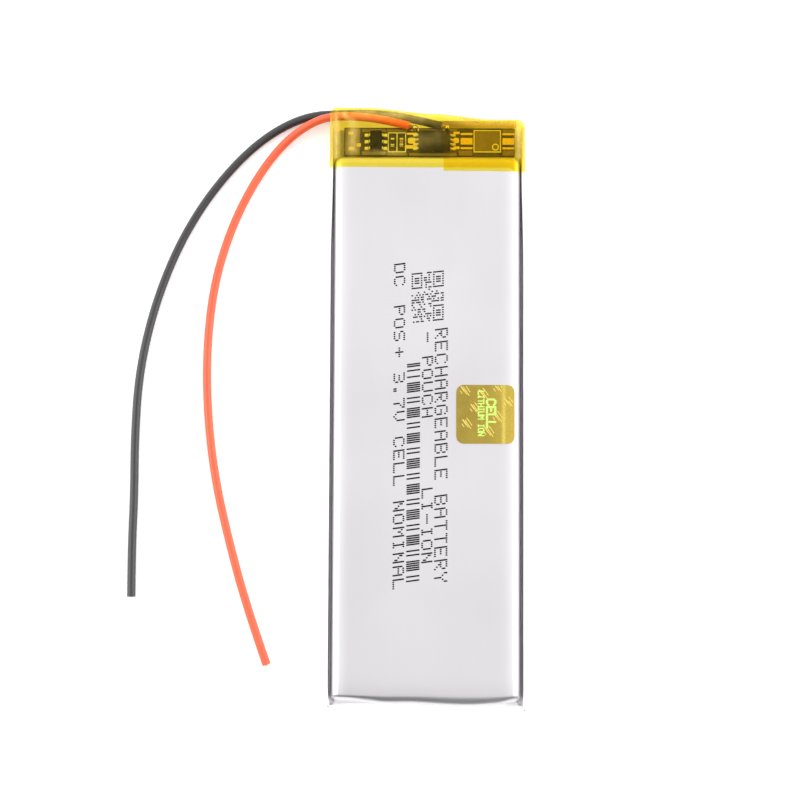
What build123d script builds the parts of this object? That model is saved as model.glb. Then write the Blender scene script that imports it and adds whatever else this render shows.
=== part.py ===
"""Pouch battery cell with a taped protection board and two bare-ended leads.

Millimetres. The cell lies on its back: X runs across it, Y along it towards the taped header, Z up through
its thickness. The origin is under the middle of the cell, on the surface it lies on.
"""
import math
import os

from build123d import *

# The cell
CELL_WIDTH = 28.0  # over the folded side seams
CELL_THICKNESS = 4.0
FOOT_Y = -41.8  # outside of the cup at the closed end
HEAD_Y = 35.2  # outside of the cup at the header
EAR_Y = -42.4  # tips of the side seams at the foot
FILM = 0.11  # aluminium laminate
CUP_HALF_WIDTH = 13.2
CUP_CORNER_R = 1.2
SHOULDER_R = 1.0

# Folded side seams: two sheets, turned up and doubled inwards
SEAM_TOP_Z = 3.5
SEAM_LIP_Z = 0.6  # the doubled edge stops this far above the surface
SEAM_GAP = 0.03
TAPED_SEAM_INSET = 0.22  # the tape pulls the seams in

# Header
TAPE = 0.06
TAPED_FROM_Y = 33.4  # the back sheet steps up here, so the tape under it lies flush
TAPE_LOW_Y = 33.6
TAPE_CORNER_R = 0.45
TERRACE_END_Y = 39.4
HUMP_Y = 42.4  # tape over the leads
TAPE_END_Y = 40.9  # tape past the board, on the side away from the leads
OVERLAP_LOW_Y = 33.05
OVERLAP_X = (2.25, 12.1)
MOUTH_Y = 40.25  # the tape is open from here to its end, on the leads' side
MOUTH_Z = (0.2, 3.0)

# Places across and along the seams
OUTER_X = CELL_WIDTH / 2
TAPED_X = OUTER_X - TAPED_SEAM_INSET
OPEN_SPAN = (FOOT_Y, TAPED_FROM_Y)
TAPED_SPAN = (TAPED_FROM_Y, TERRACE_END_Y)
EAR_WIDTH = OUTER_X - CUP_HALF_WIDTH + 0.6

# Winding: two electrode ribbons and two separators on one flat spiral
MID_Z = CELL_THICKNESS / 2
ELECTRODE = 0.14
SEPARATOR = 0.03
LAYER_GAP = 0.02
CORE_HALF_GAP = 0.13
HALF_TURNS = 7
PITCH = 2 * (ELECTRODE + SEPARATOR + 2 * LAYER_GAP)
WINDING_BEND_X = 11.13  # where the flat runs turn into half circles
WINDING_Y = (-40.4, 33.0)  # separators; each electrode stands back from their edges
ANODE_STEP_BACK = 0.5
CATHODE_STEP_BACK = 1.0
ELECTRODE_HEIGHT = CORE_HALF_GAP + ELECTRODE / 2
SEPARATOR_HEIGHT = CORE_HALF_GAP + ELECTRODE + LAYER_GAP + SEPARATOR / 2
CLOSING_TAPE = 0.03
CLOSING_TAPE_X = (2.0, 10.0)
CLOSING_TAPE_Y = (-36.0, 28.0)

# Tabs and their seals
TAB = 0.1
TAB_WIDTH = 3.0
TAB_X = 7.0  # nickel tab at +X, aluminium tab at -X
SEALANT_WIDTH = 5.0
SEALANT = 0.08  # each side of the tab
TAB_START_Y = 20.0
TAB_FOLD_Y = 39.75
TAB_RETURN_Z = 1.0
TAB_RETURN = 3.4  # how far the folded tab runs back under the board
INSULATOR = 0.06
INSULATOR_X = 12.5
FOAM_X = 3.5
TUNNEL_FLOOR_Z = TAPE + FILM
TUNNEL_ROOF_Z = TUNNEL_FLOOR_Z + 2 * SEALANT + TAB
SEALED_Z = TUNNEL_FLOOR_Z + SEALANT + TAB / 2  # middle of a tab in the seal
INSULATOR_Z = TUNNEL_ROOF_Z + FILM

# Protection board
BOARD_X = (-11.85, 12.45)
BOARD_Y = (35.5, 39.6)
BOARD_Z = (1.2, 2.0)
PAD = 0.03
PARTS_Y = 37.55  # middle line of the chips
CHIP_X = -7.3  # six-lead protection chip
CHIP_SIZE = (1.6, 2.9, 1.0)
CHIP_LEAD_PITCH = 0.95
CHIP_LEAD_WIDTH = 0.4
CHIP_PAD_HEIGHT = 0.5
SWITCH_X = 1.0  # eight-lead dual switch
SWITCH_SIZE = (4.4, 3.0, 0.95)
SWITCH_LEAD_PITCH = 0.65
SWITCH_LEAD_WIDTH = 0.25
SWITCH_PAD_HEIGHT = 0.36
LEAD_REACH = 0.75
LEAD_FRAME = 0.12  # thickness of the chips' leads
CHIP_STAND_OFF = 0.05
CHIP_CHAMFER = 0.08
RESISTOR_X = -4.96
RESISTOR_HEIGHT = 0.35
CAPACITOR_X = -3.68
CAPACITOR_HEIGHT = 0.5
PASSIVE_Y = PARTS_Y - 0.05
PASSIVE_LENGTH = 1.0
PASSIVE_WIDTH = 0.5
PASSIVE_CAP = 0.2
CAP_SKIN = 0.01  # the metal ends stand this far proud
SITE_PADS_X = (5.58, 11.53)  # lands of an empty place for a wider chip
SITE_PADS = [(1.2, 0.3), (0.15, 0.95), (-0.85, 0.3)]  # from the chips' middle line, and height
SITE_PAD_WIDTH = 1.7
BLACK_PAD = (2.7, 39.36)
RED_PAD = (-1.75, 39.36)
LEAD_PAD_SIZE = (1.1, 0.45)

# Security label
LABEL_AT = (8.25, -1.47)
LABEL_SIZE = (8.2, 8.25)
LABEL = 0.08
LABEL_CORNER_R = 1.0

# Leads: the points are the corners of each route, from the solder joint to the bare end
LEAD_R = 0.575
BORE_R = 0.29
CORE_R = 0.27
STRIPPED = 0.9
BLACK_ROUTE = [
    (2.0, 39.75, 2.64), (-2.4, 40.95, 2.25), (-7.2, 41.7, 1.65), (-12.0, 41.74, 1.12),
    (-16.2, 41.62, 0.82), (-20.0, 40.3, 0.62), (-24.0, 37.7, 0.58), (-28.0, 33.8, 0.58),
    (-32.2, 28.3, 0.58), (-35.9, 21.5, 0.58), (-38.9, 13.1, 0.58), (-40.7, 4.3, 0.58),
    (-41.15, -4.6, 0.58), (-41.1, -12.9, 0.58), (-41.35, -20.5, 0.58), (-41.3, -27.1, 0.58),
]
RED_ROUTE = [
    (-2.6, 39.75, 2.7), (-6.6, 40.75, 2.62), (-10.7, 41.15, 2.5), (-14.6, 41.1, 2.1),
    (-18.2, 39.4, 1.25), (-21.6, 36.3, 0.7), (-24.9, 31.5, 0.58), (-27.9, 25.2, 0.58),
    (-30.2, 17.4, 0.58), (-31.15, 8.3, 0.58), (-30.95, -1.2, 0.58), (-29.75, -10.6, 0.58),
    (-27.6, -19.6, 0.58), (-25.1, -28.4, 0.58), (-22.22, -36.5, 0.58),
]
SOLDER_R = 0.5


def block(x, y, z):
    """A box from its low and high ends along each axis."""
    size = [high - low for low, high in (x, y, z)]
    middle = [(low + high) / 2 for low, high in (x, y, z)]
    return Pos(*middle) * Box(*size)


def prism(points, y):
    """An outline of (x, z) points run along Y."""
    low, high = y
    outline = make_face(Polyline(*[(px, low, pz) for px, pz in points], close=True))
    return extrude(outline, amount=high - low, dir=(0, 1, 0))


def as_group(shapes):
    """Separate solids kept together in one node."""
    return Compound(children=[Solid(shape.wrapped) for shape in shapes])


def both_sides(shape):
    """A shape and its mirror image across the middle of the cell."""
    return [shape, mirror(shape, about=Plane.YZ)]


def rounded_cup(inset, bottom_z):
    """The drawn cup's block, with rounded upright corners and shoulders."""
    width = 2 * (CUP_HALF_WIDTH - inset)
    length = HEAD_Y - FOOT_Y - 2 * inset
    plan = RectangleRounded(width, length, CUP_CORNER_R - inset)
    height = CELL_THICKNESS - inset - bottom_z
    cup = extrude(Pos(0, (HEAD_Y + FOOT_Y) / 2, bottom_z) * plan, amount=height)
    return fillet(cup.faces().sort_by(Axis.Z)[-1].edges(), SHOULDER_R - inset)


def back_seam(outer_x, base_z):
    """Half of the back sheet across the cell: flat, up the seam, over and down."""
    return [
        (0, base_z), (outer_x, base_z), (outer_x, SEAM_TOP_Z),
        (outer_x - 4 * FILM - SEAM_GAP, SEAM_TOP_Z), (outer_x - 4 * FILM - SEAM_GAP, SEAM_LIP_Z),
        (outer_x - 3 * FILM - SEAM_GAP, SEAM_LIP_Z), (outer_x - 3 * FILM - SEAM_GAP, SEAM_TOP_Z - FILM),
        (outer_x - FILM, SEAM_TOP_Z - FILM), (outer_x - FILM, base_z + FILM), (0, base_z + FILM),
    ]


def cup_seam(outer_x, base_z):
    """The cup sheet's flange, sealed inside the back sheet's fold."""
    fold_x = outer_x - FILM
    inner_x = fold_x - 2 * FILM - SEAM_GAP
    return [
        (CUP_HALF_WIDTH - FILM, base_z + FILM), (fold_x, base_z + FILM), (fold_x, SEAM_TOP_Z - FILM),
        (inner_x, SEAM_TOP_Z - FILM), (inner_x, SEAM_LIP_Z), (inner_x + FILM, SEAM_LIP_Z),
        (inner_x + FILM, SEAM_TOP_Z - 2 * FILM), (fold_x - FILM, SEAM_TOP_Z - 2 * FILM),
        (fold_x - FILM, base_z + 2 * FILM), (CUP_HALF_WIDTH - FILM, base_z + 2 * FILM),
    ]


def ears(outline):
    """The stub of a seam that stands past the foot of the cup."""
    stub = prism(outline, (EAR_Y, FOOT_Y))
    return stub - block((-1, OUTER_X - EAR_WIDTH), (EAR_Y, FOOT_Y), (-1, CELL_THICKNESS))


def pouch_back():
    """Flat back half of the laminate, with both folded seams."""
    half = prism(back_seam(OUTER_X, 0), OPEN_SPAN)
    half += prism(back_seam(TAPED_X, TAPE), TAPED_SPAN)
    half += ears(back_seam(OUTER_X, 0))
    first, second = both_sides(half)
    return first + second


def pouch_cup():
    """Drawn front half of the laminate: the cup, its flanges and the terrace over the tabs."""
    inside = rounded_cup(FILM, 0)
    cup = rounded_cup(0, FILM) - inside
    cup -= block((-OUTER_X, OUTER_X), (TAPED_FROM_Y, HEAD_Y), (0, TUNNEL_FLOOR_Z))
    flange = prism(cup_seam(OUTER_X, 0), OPEN_SPAN)
    flange += prism(cup_seam(TAPED_X, TAPE), TAPED_SPAN)
    flange += ears(cup_seam(OUTER_X, 0))
    terrace_z = (TUNNEL_FLOOR_Z, TUNNEL_FLOOR_Z + FILM)
    flange += block((0, CUP_HALF_WIDTH), (HEAD_Y - FILM, TERRACE_END_Y), terrace_z)
    half_wide = SEALANT_WIDTH / 2
    roof_z = (TUNNEL_FLOOR_Z, TUNNEL_ROOF_Z + FILM)
    tunnel_x = (TAB_X - half_wide - FILM, TAB_X + half_wide + FILM)
    flange += block(tunnel_x, (HEAD_Y - FILM, TERRACE_END_Y), roof_z)
    sheet = cup
    for side in both_sides(flange):
        sheet += side
    for x in (-TAB_X, TAB_X):
        passage = block((x - half_wide, x + half_wide), (HEAD_Y - 1, TERRACE_END_Y), (0, TUNNEL_ROOF_Z))
        sheet -= passage
    return sheet


def spiral(height, thickness, y):
    """A ribbon wound flat from the core, seen as a spiral across the cell and run along Y."""
    def face_edges(shift):
        """One face of the ribbon, as flat runs joined by half circles, from its start to its end."""
        edges = []
        for turn in range(HALF_TURNS + 1):
            way = 1 if turn % 2 == 0 else -1
            z = way * (height + shift + turn * PITCH / 2)
            next_z = -way * (abs(z) + PITCH / 2)
            bend = Vector(way * WINDING_BEND_X, y[0], MID_Z + z)
            edges.append(Line((-way * WINDING_BEND_X, y[0], MID_Z + z), bend))
            if turn < HALF_TURNS:
                far_x = way * (WINDING_BEND_X + abs(z - next_z) / 2)
                far = (far_x, y[0], MID_Z + (z + next_z) / 2)
                edges.append(ThreePointArc(bend, far, (bend.X, y[0], MID_Z + next_z)))
        return edges

    outer = face_edges(thickness / 2)
    inner = face_edges(-thickness / 2)
    start = Line(outer[0] @ 0, inner[0] @ 0)
    end = Line(outer[-1] @ 1, inner[-1] @ 1)
    face = make_face(outer + inner + [start, end])
    return extrude(face, amount=y[1] - y[0], dir=(0, 1, 0))


def half_turn(shape):
    """The same ribbon started from the other side of the core."""
    return Pos(0, 0, MID_Z) * Rot(0, 180, 0) * Pos(0, 0, -MID_Z) * shape


def stepped_back(distance):
    """The span of a ribbon that stands back from the separators' edges."""
    return (WINDING_Y[0] + distance, WINDING_Y[1] - distance)


def anode_strip():
    return spiral(ELECTRODE_HEIGHT, ELECTRODE, stepped_back(ANODE_STEP_BACK))


def cathode_strip():
    return half_turn(spiral(ELECTRODE_HEIGHT, ELECTRODE, stepped_back(CATHODE_STEP_BACK)))


def separator_inner():
    return spiral(SEPARATOR_HEIGHT, SEPARATOR, WINDING_Y)


def separator_outer():
    return half_turn(spiral(SEPARATOR_HEIGHT, SEPARATOR, WINDING_Y))


def winding_closing_tape():
    """A strip of tape over the loose end of the winding."""
    top = MID_Z + SEPARATOR_HEIGHT + SEPARATOR / 2 + HALF_TURNS * PITCH / 2
    return block(CLOSING_TAPE_X, CLOSING_TAPE_Y, (top, top + CLOSING_TAPE))


def ribbon(path, thickness, x, width):
    """A flat metal strip that follows (y, z) points, mitred at its bends."""
    def offset(distance):
        shifted = []
        for index, here in enumerate(path):
            ways = []
            if index > 0:
                ways.append((Vector(*here) - Vector(*path[index - 1])).normalized())
            if index < len(path) - 1:
                ways.append((Vector(*path[index + 1]) - Vector(*here)).normalized())
            normals = [Vector(-way.Y, way.X) for way in ways]
            mitre = (normals[0] + normals[-1]).normalized()
            reach = distance / mitre.dot(normals[0])
            shifted.append((x - width / 2, here[0] + mitre.X * reach, here[1] + mitre.Y * reach))
        return shifted

    outline = offset(thickness / 2) + offset(-thickness / 2)[::-1]
    return extrude(make_face(Polyline(*outline, close=True)), amount=width, dir=(1, 0, 0))


def tab(x, core_z):
    """A tab from the winding's core, through the top seal and folded back over it."""
    path = [
        (TAB_START_Y, core_z), (WINDING_Y[1] + 0.05, core_z), (HEAD_Y - 0.85, SEALED_Z),
        (TAB_FOLD_Y, SEALED_Z), (TAB_FOLD_Y, TAB_RETURN_Z), (TAB_FOLD_Y - TAB_RETURN, TAB_RETURN_Z),
    ]
    return ribbon(path, TAB, x, TAB_WIDTH)


def anode_tab():
    return tab(TAB_X, MID_Z + CORE_HALF_GAP - TAB / 2)


def cathode_tab():
    return tab(-TAB_X, MID_Z - CORE_HALF_GAP + TAB / 2)


def tab_sealant(x):
    """Polymer strips on both faces of a tab, melted together at its edges."""
    y = (HEAD_Y - 0.7, TERRACE_END_Y + 0.1)
    strip = block((x - SEALANT_WIDTH / 2, x + SEALANT_WIDTH / 2), y, (TUNNEL_FLOOR_Z, TUNNEL_ROOF_Z))
    slot_z = (SEALED_Z - TAB / 2, SEALED_Z + TAB / 2)
    return strip - block((x - TAB_WIDTH / 2, x + TAB_WIDTH / 2), y, slot_z)


def anode_tab_sealant():
    return tab_sealant(TAB_X)


def cathode_tab_sealant():
    return tab_sealant(-TAB_X)


def terrace_insulator():
    y = (HEAD_Y + 0.05, TERRACE_END_Y + 0.1)
    return block((-INSULATOR_X, INSULATOR_X), y, (INSULATOR_Z, INSULATOR_Z + INSULATOR))


def board_foam_pad():
    y = (BOARD_Y[0] + 0.1, BOARD_Y[1] - 0.3)
    return block((-FOAM_X, FOAM_X), y, (INSULATOR_Z + INSULATOR, BOARD_Z[0]))


def nickel_link(x):
    """Nickel strip between a folded tab and the underside of the board."""
    z = (TAB_RETURN_Z + TAB / 2, BOARD_Z[0])
    return block((x - TAB_WIDTH / 2, x + TAB_WIDTH / 2), (BOARD_Y[0] + 1.1, BOARD_Y[1] - 0.3), z)


def nickel_link_negative():
    return nickel_link(TAB_X)


def nickel_link_positive():
    return nickel_link(-TAB_X)


def circuit_board():
    board = block(BOARD_X, BOARD_Y, BOARD_Z)
    return fillet(board.edges().filter_by(Axis.Z), 0.2)


def pad(x, y, width, height):
    z = (BOARD_Z[1], BOARD_Z[1] + PAD)
    return block((x - width / 2, x + width / 2), (y - height / 2, y + height / 2), z)


def chip_pads(x, size, pitch, count, height):
    """Two rows of lands under a chip's leads."""
    pads = []
    for way in (-1, 1):
        for place in range(count):
            y = PARTS_Y + (place - (count - 1) / 2) * pitch
            pads.append(pad(x + way * (size[0] / 2 + LEAD_REACH / 2), y, LEAD_REACH + 0.15, height))
    return pads


def board_pads():
    """Every bare gold land on the board's face, as one group."""
    pads = chip_pads(CHIP_X, CHIP_SIZE, CHIP_LEAD_PITCH, 3, CHIP_PAD_HEIGHT)
    pads += chip_pads(SWITCH_X, SWITCH_SIZE, SWITCH_LEAD_PITCH, 4, SWITCH_PAD_HEIGHT)
    for x in (RESISTOR_X, CAPACITOR_X):
        for way in (-1, 1):
            pads.append(pad(x, PASSIVE_Y + way * 0.45, PASSIVE_WIDTH, 2 * PASSIVE_CAP))
    for x in SITE_PADS_X:
        for from_middle, height in SITE_PADS:
            pads.append(pad(x, PARTS_Y + from_middle, SITE_PAD_WIDTH, height))
    pads.append(pad(*BLACK_PAD, *LEAD_PAD_SIZE))
    pads.append(pad(*RED_PAD, *LEAD_PAD_SIZE))
    return as_group(pads)


def chip_body(x, size):
    """A moulded chip body, a little clear of the board, with drafted-looking top edges."""
    bottom_z = BOARD_Z[1] + PAD + CHIP_STAND_OFF
    body = block(
        (x - size[0] / 2, x + size[0] / 2), (PARTS_Y - size[1] / 2, PARTS_Y + size[1] / 2),
        (bottom_z, bottom_z + size[2]),
    )
    return chamfer(body.faces().sort_by(Axis.Z)[-1].edges(), CHIP_CHAMFER)


def chip_leads(x, size, pitch, count, width):
    """Gull-wing leads on both sides of a chip, as one group."""
    foot_z = BOARD_Z[1] + PAD
    root_z = foot_z + size[2] / 2
    leads = []
    for way in (-1, 1):
        wall_x = x + way * size[0] / 2
        points = [
            (0, root_z), (0.2, root_z), (0.35, foot_z + LEAD_FRAME), (LEAD_REACH, foot_z + LEAD_FRAME),
            (LEAD_REACH, foot_z), (0.25, foot_z), (0.1, root_z - LEAD_FRAME), (0, root_z - LEAD_FRAME),
        ]
        outline = [(wall_x + way * reach, z) for reach, z in points]
        for place in range(count):
            y = PARTS_Y + (place - (count - 1) / 2) * pitch
            leads.append(prism(outline, (y - width / 2, y + width / 2)))
    return as_group(leads)


def protection_chip():
    return chip_body(CHIP_X, CHIP_SIZE)


def protection_chip_leads():
    return chip_leads(CHIP_X, CHIP_SIZE, CHIP_LEAD_PITCH, 3, CHIP_LEAD_WIDTH)


def switch_chip():
    return chip_body(SWITCH_X, SWITCH_SIZE)


def switch_chip_leads():
    return chip_leads(SWITCH_X, SWITCH_SIZE, SWITCH_LEAD_PITCH, 4, SWITCH_LEAD_WIDTH)


def passive_body(x, height):
    z = (BOARD_Z[1] + PAD, BOARD_Z[1] + PAD + height)
    half = PASSIVE_WIDTH / 2
    reach = PASSIVE_LENGTH / 2 - PASSIVE_CAP
    return block((x - half, x + half), (PASSIVE_Y - reach, PASSIVE_Y + reach), z)


def filter_resistor():
    return passive_body(RESISTOR_X, RESISTOR_HEIGHT)


def filter_capacitor():
    return passive_body(CAPACITOR_X, CAPACITOR_HEIGHT)


def passive_end_caps():
    """The four metal ends of the resistor and the capacitor."""
    caps = []
    half = PASSIVE_WIDTH / 2 + CAP_SKIN
    for x, height in ((RESISTOR_X, RESISTOR_HEIGHT), (CAPACITOR_X, CAPACITOR_HEIGHT)):
        z = (BOARD_Z[1] + PAD, BOARD_Z[1] + PAD + height + 2 * CAP_SKIN)
        for way in (-1, 1):
            near = PASSIVE_Y + way * (PASSIVE_LENGTH / 2 - PASSIVE_CAP)
            far = PASSIVE_Y + way * PASSIVE_LENGTH / 2
            caps.append(block((x - half, x + half), (min(near, far), max(near, far)), z))
    return as_group(caps)


def tape_plan(inset):
    """The tape seen from above: straight sides, and an end that bulges over the leads."""
    side = TAPED_X + TAPE - inset
    hump = HUMP_Y - inset
    end = TAPE_END_Y - inset
    low = TAPE_LOW_Y - inset
    points = [
        (-side, low, 0), (-side, hump - 0.9, 0), (-side + 0.5, hump - 0.15, 0), (-side + 1.6, hump, 0),
        (-7.6, hump, 0), (-2.2, hump - 0.55, 0), (3.0, hump - 1.15, 0), (8.0, end, 0),
        (side - 1.0, end, 0), (side, end - 0.8, 0), (side, low, 0),
    ]
    return make_face(Polyline(*points, close=True))


def tape_form(inset):
    """The tape's outer form, or its inner one when inset by its thickness."""
    top = CELL_THICKNESS + TAPE - inset
    low = TAPE_LOW_Y - inset
    fall = [
        (0, low, inset), (0, low, top), (0, HEAD_Y - 0.2, top), (0, HEAD_Y + 0.8, top - 0.4),
        (0, 40.4, top - 0.48), (0, 41.7, top - 1.0), (0, HUMP_Y - inset, top - 2.0), (0, HUMP_Y - inset, inset),
    ]
    half = TAPED_X + TAPE - inset
    profile = extrude(make_face(Polyline(*fall, close=True)), amount=half, dir=(1, 0, 0), both=True)
    plan = extrude(tape_plan(inset), amount=CELL_THICKNESS + 1)
    corner = TAPE_CORNER_R - inset
    section = Pos(0, low, inset - 2) * Rot(-90, 0, 0) * Pos(0, -(top - inset + 2) / 2, 0)
    section *= RectangleRounded(2 * half, top - inset + 2, corner)
    return profile & plan & extrude(section, amount=HUMP_Y - low + 1, dir=(0, 1, 0))


def tape_wrap():
    """One turn of polyimide tape round the header, closed over its end, open where the leads come out."""
    wrap = tape_form(0) - tape_form(TAPE)
    mouth = block((-OUTER_X - 1, -TAPED_X + 0.9), (MOUTH_Y, HUMP_Y + 1), MOUTH_Z)
    return wrap - mouth


def tape_overlap():
    """The tape's second turn, which overlaps the first on the front."""
    top = CELL_THICKNESS + TAPE
    second = block(OVERLAP_X, (OVERLAP_LOW_Y, HEAD_Y - 0.3), (top, top + TAPE))
    return second + block(OVERLAP_X, (OVERLAP_LOW_Y, TAPE_LOW_Y), (CELL_THICKNESS, top + TAPE))


def security_label():
    plan = RectangleRounded(*LABEL_SIZE, LABEL_CORNER_R)
    return extrude(Pos(LABEL_AT[0], LABEL_AT[1], CELL_THICKNESS) * plan, amount=LABEL)


def route_radii(points):
    """The arc at each corner of a route: 0.45 of the shorter run, over the tangent of half the turn."""
    radii = []
    for before, here, after in zip(points, points[1:], points[2:]):
        run_in = Vector(*here) - Vector(*before)
        run_out = Vector(*after) - Vector(*here)
        turn = math.radians(run_in.get_angle(run_out))
        radii.append(0.45 * min(run_in.length, run_out.length) / math.tan(turn / 2))
    return radii


def rod(line, radius):
    """A round bar along a route."""
    start = Plane(origin=line @ 0, z_dir=line % 0)
    return sweep(start * Circle(radius), path=line)


def lead_line(points):
    return FilletPolyline(*points, radius=route_radii(points))


def insulation(points):
    line = lead_line(points)
    tube = rod(line, LEAD_R) - rod(line, BORE_R)
    expected = math.pi * (LEAD_R**2 - BORE_R**2) * line.length
    smallest = min(route_radii(points))
    print(f"lead: length {line.length:.2f}, smallest arc {smallest:.1f}, volume ratio {tube.volume / expected:.4f}")
    return tube


def stub(points):
    """The stripped end that reaches the solder joint, in line with the first run."""
    start = Vector(*points[0])
    way = (start - Vector(*points[1])).normalized()
    return extrude(Plane(origin=start, z_dir=way) * Circle(CORE_R), amount=STRIPPED)


def core(points):
    return rod(lead_line(points), CORE_R) + stub(points)


def stub_end(points):
    start = Vector(*points[0])
    return start + (start - Vector(*points[1])).normalized() * STRIPPED


def solder_joint(points):
    """A drop of solder from the land up over the stripped end."""
    end = stub_end(points)
    low = BOARD_Z[1] + PAD
    height = end.Z + CORE_R + 0.1 - low
    drop = Pos(end.X - 0.05, end.Y, low + height / 2) * Cone(SOLDER_R, SOLDER_R * 0.7, height)
    return drop - core(points) - rod(lead_line(points), LEAD_R) - switch_chip()


def lead_black():
    return insulation(BLACK_ROUTE)


def lead_black_core():
    return core(BLACK_ROUTE)


def lead_red():
    return insulation(RED_ROUTE)


def lead_red_core():
    return core(RED_ROUTE)


def solder_negative():
    return solder_joint(BLACK_ROUTE)


def solder_positive():
    return solder_joint(RED_ROUTE)


PIECES = [
    pouch_back, pouch_cup, anode_strip, cathode_strip, separator_inner, separator_outer,
    winding_closing_tape, anode_tab, cathode_tab, anode_tab_sealant, cathode_tab_sealant,
    terrace_insulator, board_foam_pad, nickel_link_negative, nickel_link_positive, circuit_board,
    board_pads, protection_chip, protection_chip_leads, switch_chip, switch_chip_leads,
    filter_resistor, filter_capacitor, passive_end_caps, solder_negative, solder_positive,
    lead_black, lead_black_core, lead_red, lead_red_core, tape_wrap, tape_overlap, security_label,
]


def main():
    os.makedirs("parts", exist_ok=True)
    for piece in PIECES:
        export_step(piece(), f"parts/{piece.__name__}.step")


if __name__ == "__main__":
    main()
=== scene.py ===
"""A lithium pouch cell lying on its back: foil pouch, amber tape over the protection board, ink print,
gold label and two bare-ended leads.

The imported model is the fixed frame. Meshes are drawn in millimetres, +Y towards the taped header, and are
scaled to metres as each piece is finished.
"""
import math
import random

import bmesh
import bpy
from bpy.props import FloatProperty, FloatVectorProperty, IntProperty, PointerProperty
from mathutils import Matrix, Vector, noise


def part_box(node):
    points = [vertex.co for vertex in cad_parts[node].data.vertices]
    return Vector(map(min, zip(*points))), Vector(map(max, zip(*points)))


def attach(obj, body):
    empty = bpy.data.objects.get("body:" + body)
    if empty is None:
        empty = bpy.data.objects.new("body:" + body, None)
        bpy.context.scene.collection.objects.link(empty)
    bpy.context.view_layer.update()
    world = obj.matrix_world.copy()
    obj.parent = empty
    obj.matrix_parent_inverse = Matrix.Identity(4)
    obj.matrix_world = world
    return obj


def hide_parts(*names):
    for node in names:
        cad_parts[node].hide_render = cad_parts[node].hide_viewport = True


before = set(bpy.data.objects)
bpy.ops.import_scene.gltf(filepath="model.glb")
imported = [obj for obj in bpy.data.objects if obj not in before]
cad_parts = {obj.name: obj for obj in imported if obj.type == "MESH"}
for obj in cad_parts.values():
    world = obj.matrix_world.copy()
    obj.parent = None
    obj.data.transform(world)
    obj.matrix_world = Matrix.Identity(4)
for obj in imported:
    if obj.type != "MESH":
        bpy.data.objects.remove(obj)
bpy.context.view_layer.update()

bl_info = {
    "name": "Pouch Cell",
    "version": (1, 0, 0),
    "blender": (4, 5, 0),
    "location": "View3D > Sidebar > Pouch Cell",
    "description": "Builds a taped lithium pouch cell around its packed frame",
    "category": "Add Mesh",
}

MM = 0.001
BODY = "root"


def node_box(node):
    """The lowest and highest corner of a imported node, in millimetres."""
    low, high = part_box(node)
    return low / MM, high / MM


def tint(red, green, blue):
    """A display colour, 0 to 255 a channel, as the linear one that shaders take."""
    shares = [channel / 255 for channel in (red, green, blue)]
    return tuple(s / 12.92 if s <= 0.04045 else ((s + 0.055) / 1.055) ** 2.4 for s in shares)


# Places that several pieces share, read from the frame
BACK_LOW, BACK_HIGH = node_box("pouch_back")
CUP_LOW, CUP_HIGH = node_box("pouch_cup")
BOARD_LOW, BOARD_HIGH = node_box("circuit_board")
TAPE_LOW, TAPE_HIGH = node_box("tape_wrap")
OVERLAP_LOW, OVERLAP_HIGH = node_box("tape_overlap")
LABEL_LOW, LABEL_HIGH = node_box("security_label")
FACE_Z = CUP_HIGH.z
FOOT_Y = -41.8  # outside of the cup at the closed end
HEAD_Y = 35.2  # outside of the cup at the header
PARTS_Y = (BOARD_LOW.y + BOARD_HIGH.y) / 2

# Lead routes, from the solder joint to the bare end
BLACK_ROUTE = [
    (2.0, 39.75, 2.64), (-2.4, 40.95, 2.25), (-7.2, 41.7, 1.65), (-12.0, 41.74, 1.12),
    (-16.2, 41.62, 0.82), (-20.0, 40.3, 0.62), (-24.0, 37.7, 0.58), (-28.0, 33.8, 0.58),
    (-32.2, 28.3, 0.58), (-35.9, 21.5, 0.58), (-38.9, 13.1, 0.58), (-40.7, 4.3, 0.58),
    (-41.15, -4.6, 0.58), (-41.1, -12.9, 0.58), (-41.35, -20.5, 0.58), (-41.3, -27.1, 0.58),
]
RED_ROUTE = [
    (-2.6, 39.75, 2.7), (-6.6, 40.75, 2.62), (-10.7, 41.15, 2.5), (-14.6, 41.1, 2.1),
    (-18.2, 39.4, 1.25), (-21.6, 36.3, 0.7), (-24.9, 31.5, 0.58), (-27.9, 25.2, 0.58),
    (-30.2, 17.4, 0.58), (-31.15, 8.3, 0.58), (-30.95, -1.2, 0.58), (-29.75, -10.6, 0.58),
    (-27.6, -19.6, 0.58), (-25.1, -28.4, 0.58), (-22.22, -36.5, 0.58),
]


# ---------------------------------------------------------------- settings

def length(name, description, default_mm):
    return FloatProperty(name=name, description=description, default=default_mm * MM, unit="LENGTH", precision=5)


def angle(name, description, degrees):
    return FloatProperty(name=name, description=description, default=math.radians(degrees), subtype="ANGLE")


def share(name, description, default):
    return FloatProperty(name=name, description=description, default=default, min=0.0, max=1.0, subtype="FACTOR")


def colour(name, description, display):
    return FloatVectorProperty(
        name=name, description=description, default=tint(*display), size=3, min=0.0, max=1.0, subtype="COLOR"
    )


class PouchSettings(bpy.types.PropertyGroup):
    cup_half_width: length("Cup half width", "From the middle of the cell to the wall of the drawn cup", 13.25)
    shoulder: length("Shoulder radius", "Rounding between the face and the walls of the cup", 1.05)
    film: length("Film thickness", "Thickness of the aluminium laminate", 0.11)
    seam_fold: length("Seam fold radius", "Half the thickness of the doubled side seam", 0.235)
    seam_lip: length("Seam lip height", "How far the doubled edge stops above the back", 0.6)
    seam_pull: length("Seam pull", "How far the tape draws the side seams in", 0.22)
    foil: colour("Foil colour", "Colour of the matt aluminium face", (229, 227, 230))


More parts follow.
